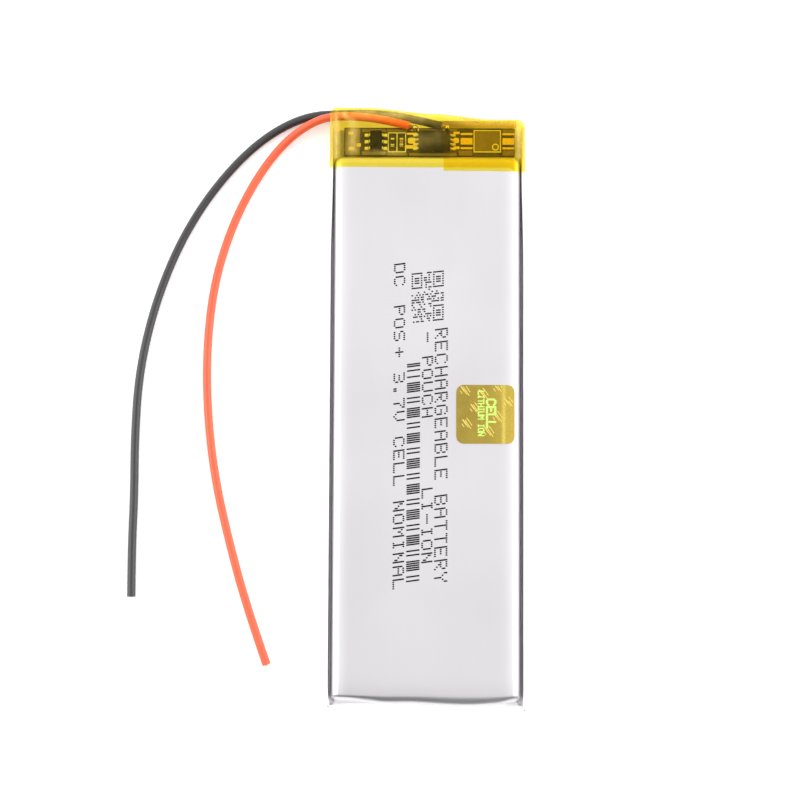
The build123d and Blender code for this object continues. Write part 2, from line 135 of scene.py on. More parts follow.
class TapeSettings(bpy.types.PropertyGroup):
    thickness: length("Tape thickness", "Thickness of one layer of the tape", 0.045)
    wrinkle: length("Wrinkle depth", "Height of the soft creases over the board", 0.05)
    amber: colour("Amber", "What one face of the film lets through", (255, 249, 192))
    gloss: colour("Film colour", "Colour of the light that the film scatters", (255, 226, 132))
    haze: share("Haze", "Share of light that each face of the film scatters", 0.012)
    fold_amber: colour("Fold amber", "What one face of the strip's folded end lets through", (245, 230, 231))


class BoardSettings(bpy.types.PropertyGroup):
    mask: colour("Mask", "Solder mask over bare laminate", (36, 27, 16))
    mask_on_copper: colour("Mask on copper", "Solder mask over copper", (122, 108, 70))
    gold: colour("Gold", "Plated lands of the board", (255, 222, 120))
    mould: colour("Mould", "Moulded chip bodies", (13, 11, 13))


class LeadSettings(bpy.types.PropertyGroup):
    diameter: length("Lead diameter", "Outside of the insulation", 1.2)
    stripped: length("Stripped length", "Bare strands that reach the solder joint", 0.9)
    black: colour("Black insulation", "Colour of the negative lead", (44, 43, 44))
    red: colour("Red insulation", "Colour of the positive lead", (255, 98, 52))


class PrintSettings(bpy.types.PropertyGroup):
    dot: length("Dot radius", "Radius of one drop of ink", 0.125)
    slant: angle("Slant", "Lean of the printed columns", 8.0)
    seed: IntProperty(name="Pattern seed", description="Picks the cells of the patterned block", default=11)
    ink: colour("Ink", "Colour of the dot print", (30, 23, 22))
    label_gold: colour("Label gold", "Main colour of the gold label", (176, 152, 56))
    # The colour of the label's pattern, also used as the painted highlight band across the gold label.
    label_light: colour("Label highlight", "Colour of the pattern on the gold label", (250, 228, 112))
    label_lime: colour("Label lime", "Colour of the print on the gold label", (214, 255, 122))


class StageSettings(bpy.types.PropertyGroup):
    distance: length("Camera distance", "From the camera to the point it looks at", 330.0)
    lens: FloatProperty(name="Lens", description="Focal length in millimetres", default=104.8)
    tilt: angle("Camera tilt", "Lean of the view towards the foot of the cell", 5.39)
    roll: angle("Camera roll", "Turn of the view about its own line", 0.269)
    floor: colour("Floor", "Colour of the table top", (250, 250, 250))
    side_light: FloatProperty(name="Side light", description="Power of each side light in watts", default=0.7)
    sky: FloatProperty(name="Sky", description="Strength of the even studio light", default=1.1)


SETTINGS = {
    "cell_pouch": PouchSettings,
    "cell_tape": TapeSettings,
    "cell_board": BoardSettings,
    "cell_leads": LeadSettings,
    "cell_print": PrintSettings,
    "cell_stage": StageSettings,
}


# ---------------------------------------------------------------- materials

class Wire:
    """A socket of a material's nodes. Arithmetic on it adds Math nodes."""

    def __init__(self, finish, socket):
        self.finish = finish
        self.socket = socket

    def math(self, operation, first, second=0.0):
        return self.finish.add("ShaderNodeMath", {"operation": operation}, {0: first, 1: second})

    def __add__(self, other):
        return self.math("ADD", self, other)

    def __radd__(self, other):
        return self.math("ADD", other, self)

    def __sub__(self, other):
        return self.math("SUBTRACT", self, other)

    def __rsub__(self, other):
        return self.math("SUBTRACT", other, self)

    def __mul__(self, other):
        return self.math("MULTIPLY", self, other)

    def __rmul__(self, other):
        return self.math("MULTIPLY", other, self)

    def __pow__(self, other):
        return self.math("POWER", self, other)

    def above(self, limit):
        return self.math("GREATER_THAN", self, limit)


class Finish:
    """A material whose nodes are being laid."""

    def __init__(self, name):
        self.material = bpy.data.materials.new(name)
        self.material.use_nodes = True
        self.tree = self.material.node_tree
        self.tree.nodes.clear()

    def add(self, kind, settings=None, sockets=None, outlet=0):
        """Any node, from its type, its settings, and the values or wires of its sockets."""
        node = self.tree.nodes.new(kind)
        for key, value in (settings or {}).items():
            if key == "stops":
                self.set_stops(node.color_ramp, value)
            else:
                setattr(node, key, value)
        for key, value in (sockets or {}).items():
            if isinstance(value, Wire):
                self.tree.links.new(value.socket, node.inputs[key])
                continue
            socket = node.inputs[key]
            if socket.type == "RGBA" and len(value) == 3:
                value = (*value, 1.0)
            socket.default_value = value
        return Wire(self, node.outputs[outlet]) if len(node.outputs) else None

    @staticmethod
    def set_stops(ramp, stops):
        while len(ramp.elements) < len(stops):
            ramp.elements.new(1.0)
        for element, (position, shade) in zip(ramp.elements, stops):
            element.position = position
            element.color = (*shade, 1.0) if len(shade) == 3 else shade

    def place(self, stretch=(1, 1, 1), turn=(0, 0, 0), shift=(0, 0, 0)):
        """Object coordinates in millimetres, shifted, then turned and stretched."""
        plain = self.add("ShaderNodeTexCoord", outlet="Object")
        sizes = {"Scale": [part / MM for part in stretch], "Rotation": turn, "Location": shift}
        return self.add("ShaderNodeMapping", sockets={"Vector": plain, **sizes})

    def grain(self, size, detail=2.0, stretch=(1, 1, 1), shift=(0, 0, 0), distortion=0.0):
        """Soft noise from 0 to 1 with features of one size in millimetres."""
        sockets = {"Vector": self.place(stretch, shift=shift), "Scale": 1 / size, "Detail": detail}
        return self.add("ShaderNodeTexNoise", sockets={**sockets, "Distortion": distortion})

    def cells(self, size, stretch=(1, 1, 1), feature="F1", outlet=0):
        sockets = {"Vector": self.place(stretch), "Scale": 1 / size}
        return self.add("ShaderNodeTexVoronoi", {"feature": feature}, sockets, outlet)

    def blend(self, factor, first, second):
        return self.add("ShaderNodeMix", {"data_type": "RGBA"}, {0: factor, 6: first, 7: second}, 2)

    def ramp(self, value, stops):
        return self.add("ShaderNodeValToRGB", {"stops": stops}, {0: value})

    def span(self, value, low, high, to_low=0.0, to_high=1.0):
        """A value mapped from one range to another, held at its ends."""
        sockets = {0: value, 1: low, 2: high, 3: to_low, 4: to_high}
        return self.add("ShaderNodeMapRange", sockets=sockets)

    def relief(self, height, depth, under=None):
        """A normal bumped by a height from 0 to 1 that stands for a depth in millimetres."""
        sockets = {"Height": height, "Distance": depth * MM, "Strength": 1.0}
        if under:
            sockets["Normal"] = under
        return self.add("ShaderNodeBump", sockets=sockets)

    def surface(self, **sockets):
        """A Principled shader; words in a socket's name are joined by underscores."""
        named = {key.replace("_", " "): value for key, value in sockets.items()}
        return self.add("ShaderNodeBsdfPrincipled", sockets=named)

    def close(self, surface):
        self.add("ShaderNodeOutputMaterial", sockets={"Surface": surface})
        return self.material


def shade(base, factor):
    """A colour made darker or lighter."""
    return tuple(min(1.0, channel * factor) for channel in base)


def grained(name, base, size, roughness, metallic=0.0, contrast=0.25, depth=0.01, **extra):
    """A finish with soft colour and roughness variation and a fine relief."""
    f = Finish(name)
    soft = f.grain(size, 3.0)
    fine = f.grain(size / 6, 2.0, shift=(3, 1, 7))
    mixed = f.blend(soft, shade(base, 1 - contrast), shade(base, 1 + contrast))
    rough = f.span(fine, 0.3, 0.7, roughness * 0.85, min(1.0, roughness * 1.15))
    normal = f.relief(fine, depth)
    return f.close(f.surface(Base_Color=mixed, Roughness=rough, Metallic=metallic, Normal=normal, **extra))


def laminate():
    """Matt nylon over aluminium foil: an even silver grey with faint rolling and press marks."""
    settings = bpy.context.scene.cell_pouch
    foil = tuple(settings.foil)
    f = Finish("laminate")
    rolled = f.grain(1.4, 3.0, stretch=(1.0, 0.08, 1.0))
    cloudy = f.grain(16.0, 2.0, shift=(5, 2, 0))
    pitted = f.grain(0.16, 2.0)
    tone = f.blend(cloudy, shade(foil, 0.965), shade(foil, 1.02))
    tone = f.blend(rolled * 0.35, tone, shade(foil, 0.95))
    rough = f.span(cloudy, 0.3, 0.7, 0.36, 0.44)
    normal = f.relief(pitted, 0.0025, f.relief(cloudy, 0.05))
    return f.close(f.surface(Base_Color=tone, Metallic=0.9, Roughness=rough, Normal=normal))


def amber_sheet(name, passed):
    """Clear amber tape: tinted and glossy, and painted paler along its folds, creases and loose stretches as a
    painted highlight.
    """
    settings = bpy.context.scene.cell_tape
    f = Finish(name)
    patches = f.grain(1.6, 3.0, distortion=0.6)
    ripple = f.grain(0.7, 2.0, stretch=(1.0, 0.5, 1.0))
    # Painted highlight: the stored layer makes the film scatter more, and so look paler, along its folds and creases.
    painted_highlight = f.add("ShaderNodeAttribute", {"attribute_name": PAINTED_HIGHLIGHT_LAYER}, outlet="Fac")
    clear = f.add("ShaderNodeBsdfTransparent", sockets={0: passed})
    normal = f.relief(ripple, 0.02)
    film = f.surface(
        Base_Color=tuple(settings.gloss), Roughness=f.span(ripple, 0.3, 0.7, 0.14, 0.3), Normal=normal,
    )
    even = f.span(patches, 0.35, 0.75, settings.haze * 0.6, settings.haze * 1.7)
    haze_and_painted_highlight = even + painted_highlight * f.span(patches, 0.3, 0.6, 0.5, 1.0)
    return f.close(f.add("ShaderNodeMixShader", sockets={0: haze_and_painted_highlight, 1: clear, 2: film}))


def amber_film():
    return amber_sheet("amber_film", tuple(bpy.context.scene.cell_tape.amber))


def amber_fold():
    return amber_sheet("amber_fold", tuple(bpy.context.scene.cell_tape.fold_amber))


def board_mask():
    settings = bpy.context.scene.cell_board
    return grained("board_mask", tuple(settings.mask), 0.8, 0.4, depth=0.004, Coat_Weight=0.3)


def copper_under_mask():
    settings = bpy.context.scene.cell_board
    return grained("copper_under_mask", tuple(settings.mask_on_copper), 0.6, 0.38, depth=0.004, Coat_Weight=0.3)


def gold_land():
    settings = bpy.context.scene.cell_board
    return grained("gold_land", tuple(settings.gold), 0.25, 0.28, 1.0, 0.08, 0.006)


def silk_ink():
    return grained("silk_ink", tint(236, 232, 214), 0.3, 0.6, contrast=0.08, depth=0.004)


def chip_mould():
    """Moulding compound: near black, with fine sparkle-free grain."""
    settings = bpy.context.scene.cell_board
    return grained(
        "chip_mould", tuple(settings.mould), 0.12, 0.5, contrast=0.3, depth=0.004, Specular_IOR_Level=0.2,
    )


def tinned():
    return grained("tinned", tint(222, 220, 214), 0.2, 0.3, 1.0, 0.06, 0.004)


def solder():
    return grained("solder", tint(214, 214, 212), 0.35, 0.2, 1.0, 0.08, 0.01)


def resistor_ceramic():
    return grained("resistor_ceramic", tint(28, 28, 32), 0.15, 0.35, contrast=0.2, depth=0.003)


def capacitor_ceramic():
    return grained("capacitor_ceramic", tint(150, 122, 92), 0.15, 0.45, contrast=0.15, depth=0.003)


def nickel():
    return grained("nickel", tint(205, 200, 190), 0.5, 0.3, 1.0, 0.06, 0.004)


def tab_aluminium():
    return grained("tab_aluminium", tint(225, 226, 228), 0.5, 0.34, 1.0, 0.05, 0.004)


def tab_sealant():
    return grained("tab_sealant", tint(238, 236, 226), 0.8, 0.5, contrast=0.05, depth=0.004)


def insulator_film():
    return grained("insulator_film", tint(222, 224, 222), 1.0, 0.4, contrast=0.05, depth=0.004)


def foam():
    """Open foam: small cells in a soft dark grey, each painted darker towards its middle as painted shade in the
    pores.
    """
    f = Finish("foam")
    pores_and_painted_shade = f.cells(0.22)
    # Painted shade: each pore is coloured darker towards its middle, the same pattern also giving the bump.
    tone = f.blend(pores_and_painted_shade, tint(58, 58, 60), tint(98, 98, 100))
    return f.close(f.surface(Base_Color=tone, Roughness=0.95, Normal=f.relief(pores_and_painted_shade, 0.08)))


def graphite_on_copper():
    return grained("graphite_on_copper", tint(48, 48, 52), 0.4, 0.65, 0.2, 0.3, 0.01)


def oxide_on_aluminium():
    return grained("oxide_on_aluminium", tint(38, 38, 42), 0.4, 0.75, 0.1, 0.3, 0.01)


def separator_film():
    return grained("separator_film", tint(244, 244, 242), 0.6, 0.55, contrast=0.04, depth=0.004)


def closing_tape():
    return grained("closing_tape", tint(120, 170, 90), 1.2, 0.4, contrast=0.08, depth=0.004)


def insulation(name, base):
    """Soft extruded silicone: faint lengthwise drag and a low sheen."""
    f = Finish(name)
    cloudy = f.grain(2.4, 2.0)
    drag = f.grain(0.18, 2.0)
    tone = f.blend(cloudy, shade(base, 0.86), shade(base, 1.12))
    rough = f.span(drag, 0.3, 0.7, 0.3, 0.4)
    return f.close(f.surface(
        Base_Color=tone, Roughness=rough, Normal=f.relief(drag, 0.006), Specular_IOR_Level=0.75,
    ))


def black_insulation():
    return insulation("black_insulation", tuple(bpy.context.scene.cell_leads.black))


def red_insulation():
    return insulation("red_insulation", tuple(bpy.context.scene.cell_leads.red))


def copper_strands():
    return grained("copper_strands", tint(214, 170, 140), 0.12, 0.3, 1.0, 0.12, 0.004)


def print_ink():
    settings = bpy.context.scene.cell_print
    return grained("print_ink", tuple(settings.ink), 0.4, 0.8, contrast=0.2, depth=0.003, Specular_IOR_Level=0.2)


def gold_label():
    """Embossed gold foil with painted light across it: painted shade on the left, a painted highlight band and a
    paler painted edge on the right.
    """
    settings = bpy.context.scene.cell_print
    gold, light = tuple(settings.label_gold), tuple(settings.label_light)
    f = Finish("gold_label")
    clouds = f.grain(2.2, 3.0, distortion=0.8)
    screen = f.cells(0.16)
    specks = f.grain(0.2, 1.0).above(0.66)
    across = f.add("ShaderNodeSeparateXYZ", sockets={0: f.place()})
    # Painted light across the label: painted shade on the left, a painted highlight band near 0.81 and a paler
    # painted right edge.
    left, right = shade(gold, 0.88), shade(gold, 1.45)
    painted_light_stops = [(0.0, left), (0.55, gold), (0.76, shade(gold, 1.3)), (0.81, light), (0.86, right), (1.0, right)]
    tone = f.ramp(f.span(across, LABEL_LOW.x, LABEL_HIGH.x), painted_light_stops)
    tone = f.blend(f.span(clouds, 0.35, 0.7) * 0.4, tone, shade(gold, 1.3))
    tone = f.blend(f.span(screen, 0.2, 0.6) * 0.25, tone, shade(gold, 0.55))
    tone = f.blend(specks * 0.35, tone, tint(168, 110, 30))
    rough = f.span(clouds, 0.3, 0.7, 0.34, 0.46)
    normal = f.relief(screen, 0.012)
    return f.close(f.surface(Base_Color=tone, Metallic=0.4, Roughness=rough, Normal=normal))


def label_light():
    settings = bpy.context.scene.cell_print
    return grained("label_light", tuple(settings.label_light), 0.3, 0.35, 0.3, 0.1, 0.004)


def label_lime():
    settings = bpy.context.scene.cell_print
    return grained("label_lime", tuple(settings.label_lime), 0.3, 0.5, 0.0, 0.06, 0.004)


NODE_FINISHES = {
    "anode_strip": graphite_on_copper,
    "cathode_strip": oxide_on_aluminium,
    "separator_inner": separator_film,
    "separator_outer": separator_film,
    "winding_closing_tape": closing_tape,
}

SOFTENED_NODES = {
    "anode_tab": (nickel, "nickel", 0.015),
    "cathode_tab": (tab_aluminium, "tab_aluminium", 0.015),
    "anode_tab_sealant": (tab_sealant, "tab_sealant", 0.02),
    "cathode_tab_sealant": (tab_sealant, "tab_sealant", 0.02),
    "terrace_insulator": (insulator_film, "insulator_film", 0.015),
    "board_foam_pad": (foam, "foam", 0.12),
    "nickel_link_negative": (nickel, "nickel", 0.02),
    "nickel_link_positive": (nickel, "nickel", 0.02),
    "circuit_board": (board_mask, "board_mask", 0.03),
    "protection_chip_leads": (tinned, "tinned", 0.02),
    "switch_chip_leads": (tinned, "tinned", 0.02),
    "filter_resistor": (resistor_ceramic, "resistor_ceramic", 0.02),
    "filter_capacitor": (capacitor_ceramic, "capacitor_ceramic", 0.03),
    "passive_end_caps": (tinned, "tinned", 0.03),
}


# ---------------------------------------------------------------- mesh tools

def ease(value, low, high):
    """0 below low, 1 above high, and a smooth rise between."""
    t = min(1.0, max(0.0, (value - low) / (high - low)))
    return t * t * (3 - 2 * t)


def steps(low, high, pitch):
    """Evenly spaced places from low to high, both included."""
    count = max(1, round((high - low) / pitch))
    return [low + (high - low) * index / count for index in range(count + 1)]


def ripple(x, y, size, seed):
    """Smooth noise from -1 to 1 over a surface."""
    return noise.noise(Vector((x / size, y / size, seed)))


def block(bm, low, high, turn=None):
    """Adds a box between two corners, turned about its middle, and returns its vertices."""
    low, high = Vector(low), Vector(high)
    place = Matrix.LocRotScale((low + high) / 2, turn, high - low)
    return bmesh.ops.create_cube(bm, size=1.0, matrix=place)["verts"]


def round_off(bm, edges, radius, segments):
    bmesh.ops.bevel(
        bm, geom=edges, offset=radius, segments=segments, profile=0.5, affect="EDGES", material=-1,
        clamp_overlap=True,
    )


def slice_up(bm, axis, places):
    """Cuts the whole mesh by planes across one axis, so that it can be shaped softly."""
    for place in places:
        point = Vector((0, 0, 0))
        point[axis] = place
        normal = Vector((0, 0, 0))
        normal[axis] = 1
        geometry = bm.verts[:] + bm.edges[:] + bm.faces[:]
        bmesh.ops.bisect_plane(bm, geom=geometry, dist=1e-4, plane_co=point, plane_no=normal)


def walk(bm, start, heading, moves):
    """Draws an open line in the XZ plane. A number is a straight run; a pair is a radius and a left turn."""
    vertex = bm.verts.new(start)
    heading = Vector(heading)
    for move in moves:
        if isinstance(move, tuple):
            radius, turn = move
            left = Vector((-heading.z, 0, heading.x)) * math.copysign(1, turn)
            centre = vertex.co + left * radius
            count = max(2, round(abs(turn) / 30))
            step = Matrix.Rotation(math.radians(turn) / count, 3, (0, -1, 0))
            for _ in range(count):
                vertex = bmesh.ops.extrude_vert_indiv(bm, verts=[vertex])["verts"][0]
                bmesh.ops.rotate(bm, cent=centre, matrix=step, verts=[vertex])
                heading = step @ heading
        else:
            vertex = bmesh.ops.extrude_vert_indiv(bm, verts=[vertex])["verts"][0]
            vertex.co += heading * move
    return vertex


def sweep(bm, edges, places):
    """Extrudes edges that stand at the first place through the others along Y."""
    for here, there in zip(places, places[1:]):
        grown = bmesh.ops.extrude_edge_only(bm, edges=edges)["geom"]
        verts = {part for part in grown if isinstance(part, bmesh.types.BMVert)}
        bmesh.ops.translate(bm, vec=(0, there - here, 0), verts=list(verts))
        edges = [part for part in grown if isinstance(part, bmesh.types.BMEdge) and set(part.verts) <= verts]
    return edges


def aim_faces(bm, faces, towards):
    """Turns a sheet over if its first face doesn't look the given way."""
    bmesh.ops.recalc_face_normals(bm, faces=faces)
    faces[0].normal_update()
    if faces[0].normal.dot(Vector(towards)) < 0:
        bmesh.ops.reverse_faces(bm, faces=faces)


def spun(bm, profile, centre, segments=16):
    """A lathed shape from (radius, height) points, closed on its axis."""
    verts = [bm.verts.new((centre[0] + radius, centre[1], centre[2] + height)) for radius, height in profile]
    edges = [bm.edges.new(pair) for pair in zip(verts, verts[1:])]
    bmesh.ops.spin(
        bm, geom=verts + edges, cent=centre, axis=(0, 0, 1), angle=math.tau, steps=segments, use_merge=True,
        use_duplicate=False,
    )
    bmesh.ops.remove_doubles(bm, verts=bm.verts, dist=1e-4)


def softened(node, radius, segments=2):
    """A copy of a node's mesh, merged, with its sharp edges rounded."""
    bm = bmesh.new()
    bm.from_mesh(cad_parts[node].data)
    bmesh.ops.scale(bm, vec=(1 / MM,) * 3, verts=bm.verts)
    bmesh.ops.remove_doubles(bm, verts=bm.verts, dist=0.0005)
    bmesh.ops.dissolve_limit(bm, angle_limit=math.radians(1), verts=bm.verts, edges=bm.edges)
    sharp = [edge for edge in bm.edges if edge.is_manifold and edge.calc_face_angle() > math.radians(30)]
    round_off(bm, sharp, radius, segments)
    return bm


FINISHED = {}
# Name of the vertex layer that holds the tape's painted highlight.
PAINTED_HIGHLIGHT_LAYER = "crease"


def finish_of(make):
    """Each material is made once."""
    if make not in FINISHED:
        FINISHED[make] = make()
    return FINISHED[make]


def new_piece(name, bm, make_finish, replaces=(), crease_deg=40):
    """Turns a mesh drawn in millimetres into a piece that rides on the cell."""
    bmesh.ops.scale(bm, vec=(MM,) * 3, verts=bm.verts)
    mesh = bpy.data.meshes.new(name)
    bm.to_mesh(mesh)
    bm.free()
    mesh.materials.append(finish_of(make_finish))
    mesh.shade_smooth()
    mesh.set_sharp_from_angle(angle=math.radians(crease_deg))
    piece = bpy.data.objects.new(name, mesh)
    bpy.context.scene.collection.objects.link(piece)
    settle(piece, replaces)
    return piece


def settle(piece, replaces):
    """Hangs a piece on the frame."""
    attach(piece, BODY)
    if replaces:
        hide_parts(*replaces)


def smooth_finely(piece, levels):
    modifier = piece.modifiers.new("Smooth", "SUBSURF")
    modifier.levels = levels
    modifier.render_levels = levels


def give_wall(piece, thickness_mm):
    """Thickens a sheet inwards from its outer face."""
    modifier = piece.modifiers.new("Wall", "SOLIDIFY")
    modifier.thickness = thickness_mm * MM
    modifier.offset = -1.0
    modifier.use_even_offset = False


# ---------------------------------------------------------------- leads

def lead_curve(name, route, radius, make_finish, replaces):
    """One lead as a smooth line through its route, capped at both ends."""
    curve = bpy.data.curves.new(name, "CURVE")
    curve.dimensions = "3D"
    spline = curve.splines.new("NURBS")
    spline.points.add(len(route) - 1)
    for point, place in zip(spline.points, route):
        point.co = (*(axis * MM for axis in place), 1.0)
    spline.order_u = 3
    spline.use_endpoint_u = True
    curve.resolution_u = 12
    curve.bevel_depth = radius * MM
    curve.bevel_resolution = 5
    curve.use_fill_caps = True
    curve.materials.append(finish_of(make_finish))
    lead = bpy.data.objects.new(name, curve)
    bpy.context.scene.collection.objects.link(lead)
    settle(lead, replaces)
    return lead


def strand_bundle(bm, start, heading, reach, radius):
    """Seven twisted strands laid side by side, from a start along a heading."""
    heading = Vector(heading).normalized()
    turn = heading.to_track_quat("Z", "Y")
    for index in range(7):
        angle_about = index * math.tau / 6
        out = 0.0 if index == 6 else 2 * radius
        offset = turn @ Vector((out * math.cos(angle_about), out * math.sin(angle_about), 0))
        middle = Vector(start) + heading * reach / 2 + offset
        bmesh.ops.create_cone(
            bm, cap_ends=True, segments=8, radius1=radius, radius2=radius * 0.8, depth=reach,
            matrix=Matrix.LocRotScale(middle, turn, None),
        )


class CELL_OT_leads(bpy.types.Operator):
    """Makes both leads, with the strands at their ends"""
    bl_idname = "cell.make_leads"
    bl_label = "Make Leads"

    def execute(self, context):
        settings = context.scene.cell_leads
        radius = settings.diameter / MM / 2
        stripped = settings.stripped / MM
        kinds = (("black", BLACK_ROUTE, black_insulation, 0.03), ("red", RED_ROUTE, red_insulation, 0.1))
        for name, route, make_finish, showing in kinds:
            nodes = (f"lead_{name}", f"lead_{name}_core")
            lead = lead_curve(f"{name}_lead", route, radius, make_finish, nodes)
            bm = bmesh.new()
            first, last = Vector(route[0]), Vector(route[-1])
            strand_bundle(bm, first, first - Vector(route[1]), stripped, 0.085)
            strand_bundle(bm, last, last - Vector(route[-2]), showing, 0.085)
            strands = new_piece(f"{name}_strands", bm, copper_strands)
        return {"FINISHED"}


# ---------------------------------------------------------------- pouch

def face_height(x, y):
    """Top of the drawn cup: nearly flat, falling softly towards its walls and its foot."""
    settings = bpy.context.scene.cell_pouch
    half = settings.cup_half_width / MM
    side_fall = 0.5 * max(0.0, (abs(x) - 0.82 * half) / (0.18 * half)) ** 2
    foot_fall = 0.3 * (1 - ease(y, FOOT_Y, FOOT_Y + 2.6)) ** 2
    soft = 0.02 * ripple(x, y * 0.6, 9.0, 1.0)
    return FACE_Z - side_fall - foot_fall + soft


def foot_bow(x):
    """How far the closed end stands in at its corners and out to the right of its middle."""
    corners = 0.5 * ease(-x, 4.0, 12.6) + 0.45 * ease(x, 9.5, 12.8)
    return corners - 0.26 * math.exp(-(((x - 5.5) / 4.5) ** 2))


def seam_pull(y):
    """How far the seams are drawn in along the cell."""
    pull = bpy.context.scene.cell_pouch.seam_pull / MM
    return pull * ease(y, 20.0, TAPE_LOW.y)


def lift_under_tape(y):
    """The back is raised by one layer of tape where the tape passes under it."""
    return 0.06 * ease(y, TAPE_LOW.y - 0.9, TAPE_LOW.y - 0.1)


def shape_seams(bm):
    """Draws the side seams in towards the tape and gives them a slight wave."""
    for vertex in bm.verts:
        x, y, z = vertex.co
        vertex.co.z += lift_under_tape(y) * (1 - ease(z, 1.0, 3.0))
        if abs(x) > 13.25:
            side = math.copysign(1, x)
            past_cup = max(0.0, (FOOT_Y + 2.0 - y) / 2.8)
            vertex.co.x -= side * (0.1 if x > 0 else 0.42) * past_cup ** 2
            wave = 0.035 * ripple(y, 7 * side, 7.0, 4.0) * min(1.0, z / BACK_HIGH.z)
            vertex.co.x -= side * (seam_pull(y) + abs(wave))


def cup_shell(bm, half, shoulder, film):
    """The drawn cup, open below."""
    corners = block(bm, (-half, FOOT_Y, 2 * film), (half, HEAD_Y, FACE_Z))
    top = max(vertex.co.z for vertex in corners)
    edges = [edge for edge in bm.edges if any(abs(vertex.co.z - top) < 1e-4 for vertex in edge.verts)]
    round_off(bm, edges, shoulder, 6)
    base = [face for face in bm.faces if all(abs(v.co.z - 2 * film) < 1e-4 for v in face.verts)]
    bmesh.ops.delete(bm, geom=base, context="FACES")
    flat = half - shoulder - 0.05
    slice_up(bm, 0, steps(-flat, flat, 0.9))
    slice_up(bm, 1, steps(FOOT_Y + shoulder + 0.05, HEAD_Y - shoulder - 0.05, 1.4))
    slice_up(bm, 2, (0.6, 1.4, 2.2))
    for vertex in bm.verts:
        x, y, z = vertex.co
        rise = (z - 2 * film) / (FACE_Z - 2 * film)
        vertex.co.z += (face_height(x, y) - FACE_Z) * rise
        at_foot = 1 - ease(y, FOOT_Y, FOOT_Y + 1.6)
        dent = 0.1 * ripple(x, 0, 4.2, 8.0) + 0.06 * ripple(x, 0, 1.7, 2.0)
        vertex.co.y += at_foot * (foot_bow(x) * min(1.0, rise * 2.5) + dent * rise)
    aim_faces(bm, bm.faces[:], bm.faces[:][0].calc_center_median() - Vector((0, 0, 1)))


def flange(bm, side, film, y_places):
    """The cup sheet's own edge, sealed inside the folded seam."""
    outer = 13.78
    up = BACK_HIGH.z - 2 * film - 0.25 - 2 * film - 0.02
    before = set(bm.edges)
    walk(
        bm, (side * 12.7, y_places[0], 2 * film), (side, 0, 0),
        [outer - 12.7 - 0.25, (0.25, side * 90), up, (0.015, side * 180), up - 0.3],
    )
    line = [edge for edge in bm.edges if edge not in before]
    faces_before = set(bm.faces)
    sweep(bm, line, y_places)
    aim_faces(bm, [face for face in bm.faces if face not in faces_before], (0, 0, 1))


def terrace(bm, half):
    """The sealed ledge over the two tabs, raised where each tab runs through."""
    faces_before = set(bm.faces)
    place = Matrix.LocRotScale((0, (HEAD_Y + CUP_HIGH.y) / 2 - 0.05, 0), None, (half, 2.15, 1))
    made = bmesh.ops.create_grid(bm, x_segments=60, y_segments=5, size=1.0, matrix=place)["verts"]
    for vertex in made:
        over_tab = 1 - ease(abs(abs(vertex.co.x) - 7.0), 2.5, 2.9)
        vertex.co.z = 0.28 + 0.26 * over_tab
    aim_faces(bm, [face for face in bm.faces if face not in faces_before], (0, 0, 1))


def back_sheet(fold, lip, film):
    """The flat back and both folded seams as one sheet, swept along the cell."""
    bm = bmesh.new()
    outer = BACK_HIGH.x
    bend = 0.35
    rise = BACK_HIGH.z - fold - lip
    side = BACK_HIGH.z - fold - bend
    across = [(2 * outer - 2 * bend) / 14] * 14
    walk(
        bm, (2 * fold - outer, FOOT_Y, lip), (0, 0, 1),
        [rise, (fold, 180), side, (bend, 90), *across, (bend, 90), side, (fold, 180), rise],
    )
    places = steps(FOOT_Y, TAPE_LOW.y - 1.0, 1.5) + steps(TAPE_LOW.y - 0.8, BACK_HIGH.y, 0.5)
    line = bm.edges[:]
    sweep(bm, line, places)
    turn_up_foot(bm, bend)
    draw_out_ears(bm)
    base = min(bm.faces, key=lambda face: face.calc_center_median().z + abs(face.calc_center_median().x))
    bmesh.ops.recalc_face_normals(bm, faces=bm.faces)
    if base.normal.z > 0:
        bmesh.ops.reverse_faces(bm, faces=bm.faces)
    shape_seams(bm)
    return bm


def foot_edges(bm, wanted):
    """Edges of the sheet's end at the foot whose middle passes a test of its distance across."""
    found = []
    for edge in bm.edges:
        middle = (edge.verts[0].co + edge.verts[1].co) / 2
        if edge.is_boundary and abs(middle.y - FOOT_Y) < 1e-3 and wanted(abs(middle.x)):
            found.append(edge)
    return found


def turn_up_foot(bm, bend):
    """Rolls the back sheet up at the foot, where it turns into the cup."""
    edges = foot_edges(bm, lambda x: x < 12.6)
    verts = {vertex for edge in edges for vertex in edge.verts}
    bmesh.ops.translate(bm, vec=(0, bend, 0), verts=list(verts))
    step = Matrix.Rotation(math.radians(-30), 3, "X")
    for _ in range(3):
        grown = bmesh.ops.extrude_edge_only(bm, edges=edges)["geom"]
        verts = {part for part in grown if isinstance(part, bmesh.types.BMVert)}
        bmesh.ops.rotate(bm, cent=(0, FOOT_Y + bend, bend), matrix=step, verts=list(verts))
        edges = [part for part in grown if isinstance(part, bmesh.types.BMEdge) and set(part.verts) <= verts]


def draw_out_ears(bm):
    """The seams stand a little past the foot as two uneven ears."""
    edges = foot_edges(bm, lambda x: x > 12.6)
    grown = bmesh.ops.extrude_edge_only(bm, edges=edges)["geom"]
    for vertex in grown:
        if isinstance(vertex, bmesh.types.BMVert):
            reach = 0.9 if vertex.co.x > 0 else 0.5
            vertex.co.y -= reach * (0.5 + 0.5 * ease(vertex.co.z, 0.2, 2.6)) * ease(abs(vertex.co.x), 12.3, 13.6)


